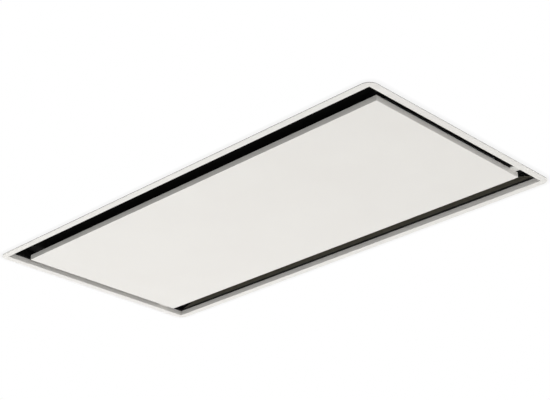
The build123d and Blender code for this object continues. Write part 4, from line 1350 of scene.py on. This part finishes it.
@dataclass
class DuctCollar:
    """Black collar for the duct with webs behind its flange, and two flaps on a pin."""

    tube_r: float = 0.0745
    flange_sheet: float = 0.0012
    web_high: float = 0.0062
    web_long: float = 0.006
    web_wide: float = 0.002
    web_edge: float = 0.0004
    steps: int = 16
    screw_step: int = 4

    def webs(self) -> Piece:
        """Model the triangular webs between the tube and its flange, clear of the four screws.

        Returns:
            All the webs as one piece, without a finish.
        """
        low, high = extent("duct_spigot")
        seat = low.y + self.flange_sheet
        web = block(
            (self.web_high, self.web_long, self.web_wide),
            (self.tube_r + self.web_high / 2, seat + self.web_long / 2, 0),
        )
        corner = (self.tube_r + self.web_high, seat, 0)
        slope = (self.web_long, self.web_high, 0)
        with editing(web):
            bpy.ops.mesh.bisect(plane_co=corner, plane_no=slope, clear_outer=True, use_fill=True)
        rounding = web.modifiers.new("rounding", "BEVEL")
        rounding.width = self.web_edge
        rounding.segments = 2
        apply_modifiers(web)
        axis = Matrix.Translation(((low.x + high.x) / 2, 0, (low.z + high.z) / 2))
        turns = [k for k in range(self.steps) if k % self.screw_step != self.screw_step // 2]
        places = [axis @ Matrix.Rotation(math.tau * k / self.steps, 4, "Y") for k in turns]
        return repeated(web, places, "collar_webs")

    def build(self) -> None:
        """Dress the collar and its flaps, and add the webs."""
        Surface.BLACK_PLASTIC.on_piece(self.webs(), "hood")
        Surface.BLACK_PLASTIC.on_nodes("duct_spigot")
        Surface.WHITE_NYLON.on_nodes("damper_flap_left", "damper_flap_right")
        Surface.ZINC_PLATE.on_nodes("damper_pin")
        small = PanHeadScrew(head_r=0.003, head=0.002, shank_r=0.0016, length=0.0052)
        small.fit("spigot_screws", Drive.REAR, Surface.ZINC_PLATE)


@dataclass
class ControlBox:
    """Control box with its board, terminals and cable gland, whose dome nut has grip ribs."""

    dome_ribs: int = 18
    rib_depth: float = 0.0007
    rib_edge: float = 0.00035
    bore_r: float = 0.005
    bore_long: float = 0.05
    crown_bevel: float = 0.0028
    smooth_under: float = 30.0
    terminal_ways: int = 5
    terminal_spread: float = 0.05
    terminal_offset: float = 0.0045
    clamp_r: float = 0.0019
    clamp_high: float = 0.002
    clamp_rise: float = 0.004
    clamp_edge: float = 0.000285
    clamp_slot: Triple = (0.0057, 0.00076, 0.001)
    way_turn: float = 50.0
    side_turn: float = 20.0

    def dome_nut(self) -> Piece:
        """Model the gland's dome nut: grooves between its ribs, a rounded crown and a bore.

        Returns:
            The nut, without a finish.
        """
        low, high = extent("gland_dome")
        centre = (low + high) / 2
        nut = rod((high.x - low.x) / 2, high.z - low.z, 2 * self.dome_ribs, centre)
        nut.name = "ribbed_dome_nut"
        with editing(nut, faces_towards(nut, UPWARD)):
            bpy.ops.mesh.bevel(offset=self.crown_bevel, segments=5, affect="EDGES")
        sides = [f.index for f in nut.data.polygons if abs(f.normal.z) < UPRIGHT]
        sides.sort(key=lambda i: math.atan2(*(nut.data.polygons[i].center - centre).xy))
        with editing(nut, sides[::2]):
            bpy.ops.mesh.inset(thickness=self.rib_edge, depth=-self.rib_depth, use_individual=True)
        carve(nut, rod(self.bore_r, self.bore_long, sides=32, centre=centre))
        smooth(nut, self.smooth_under)
        return nut

    def terminal_screws(self) -> Piece:
        """Model the slotted clamp screws in the terminal block's holes, two for each way.

        Returns:
            All the screws as one piece, without a finish.
        """
        low, high = extent("terminal_block")
        screw = rod(self.clamp_r, self.clamp_high, sides=20)
        with editing(screw, faces_towards(screw, -UPWARD)):
            bpy.ops.mesh.bevel(offset=self.clamp_edge, segments=2, affect="EDGES")
        carve(screw, block(self.clamp_slot, (0, 0, -self.clamp_high / 2)))
        middle = (low.x + high.x) / 2
        places = []
        for way, share in enumerate(evenly(self.terminal_ways)):
            for side in (-1, 1):
                turn = Matrix.Rotation(math.radians(self.way_turn * way + self.side_turn * side), 4, "Z")
                seat = (
                    middle + side * self.terminal_offset,
                    share * self.terminal_spread / 2,
                    low.z + self.clamp_rise,
                )
                places.append(Matrix.Translation(seat) @ turn)
        return repeated(screw, places, "terminal_screws")

    def build(self) -> None:
        """Dress the box and what is in it, and fit the dome nut and the terminal screws."""
        Surface.BLACK_PLASTIC.on_piece(self.dome_nut(), "hood", "gland_dome")
        Surface.ZINC_PLATE.on_piece(self.terminal_screws(), "hood")
        Surface.ZINC_SHEET.on_nodes("control_box", "control_box_lid")
        Surface.BOARD.on_nodes("control_board")
        Surface.BLACK_PLASTIC.on_nodes("board_parts", "cable_gland", "gland_locknut")
        Surface.WHITE_NYLON.on_nodes("terminal_block")
        PanHeadScrew().fit("box_screws", Drive.DOWN, Surface.ZINC_PLATE)


# ---------------- the whole hood
@dataclass
class CeilingHood:
    """Everything that the hood is made of."""

    parts: tuple[SubAssembly, ...] = (
        FrameAndPanel(),
        Liner(),
        GreaseFilters(),
        Casing(),
        Blower(),
        DuctCollar(),
        ControlBox(),
    )

    def build(self) -> None:
        """Build each sub-assembly in turn."""
        for part in self.parts:
            part.build()
            LOG.info("%s is done", type(part).__name__)


def main() -> None:
    """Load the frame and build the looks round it."""
    logging.basicConfig(level=logging.INFO, format="%(name)s: %(message)s")
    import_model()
    bpy.context.scene.view_settings.view_transform = "Standard"
    Studio().build()
    CeilingHood().build()


if __name__ == "__main__":
    main()
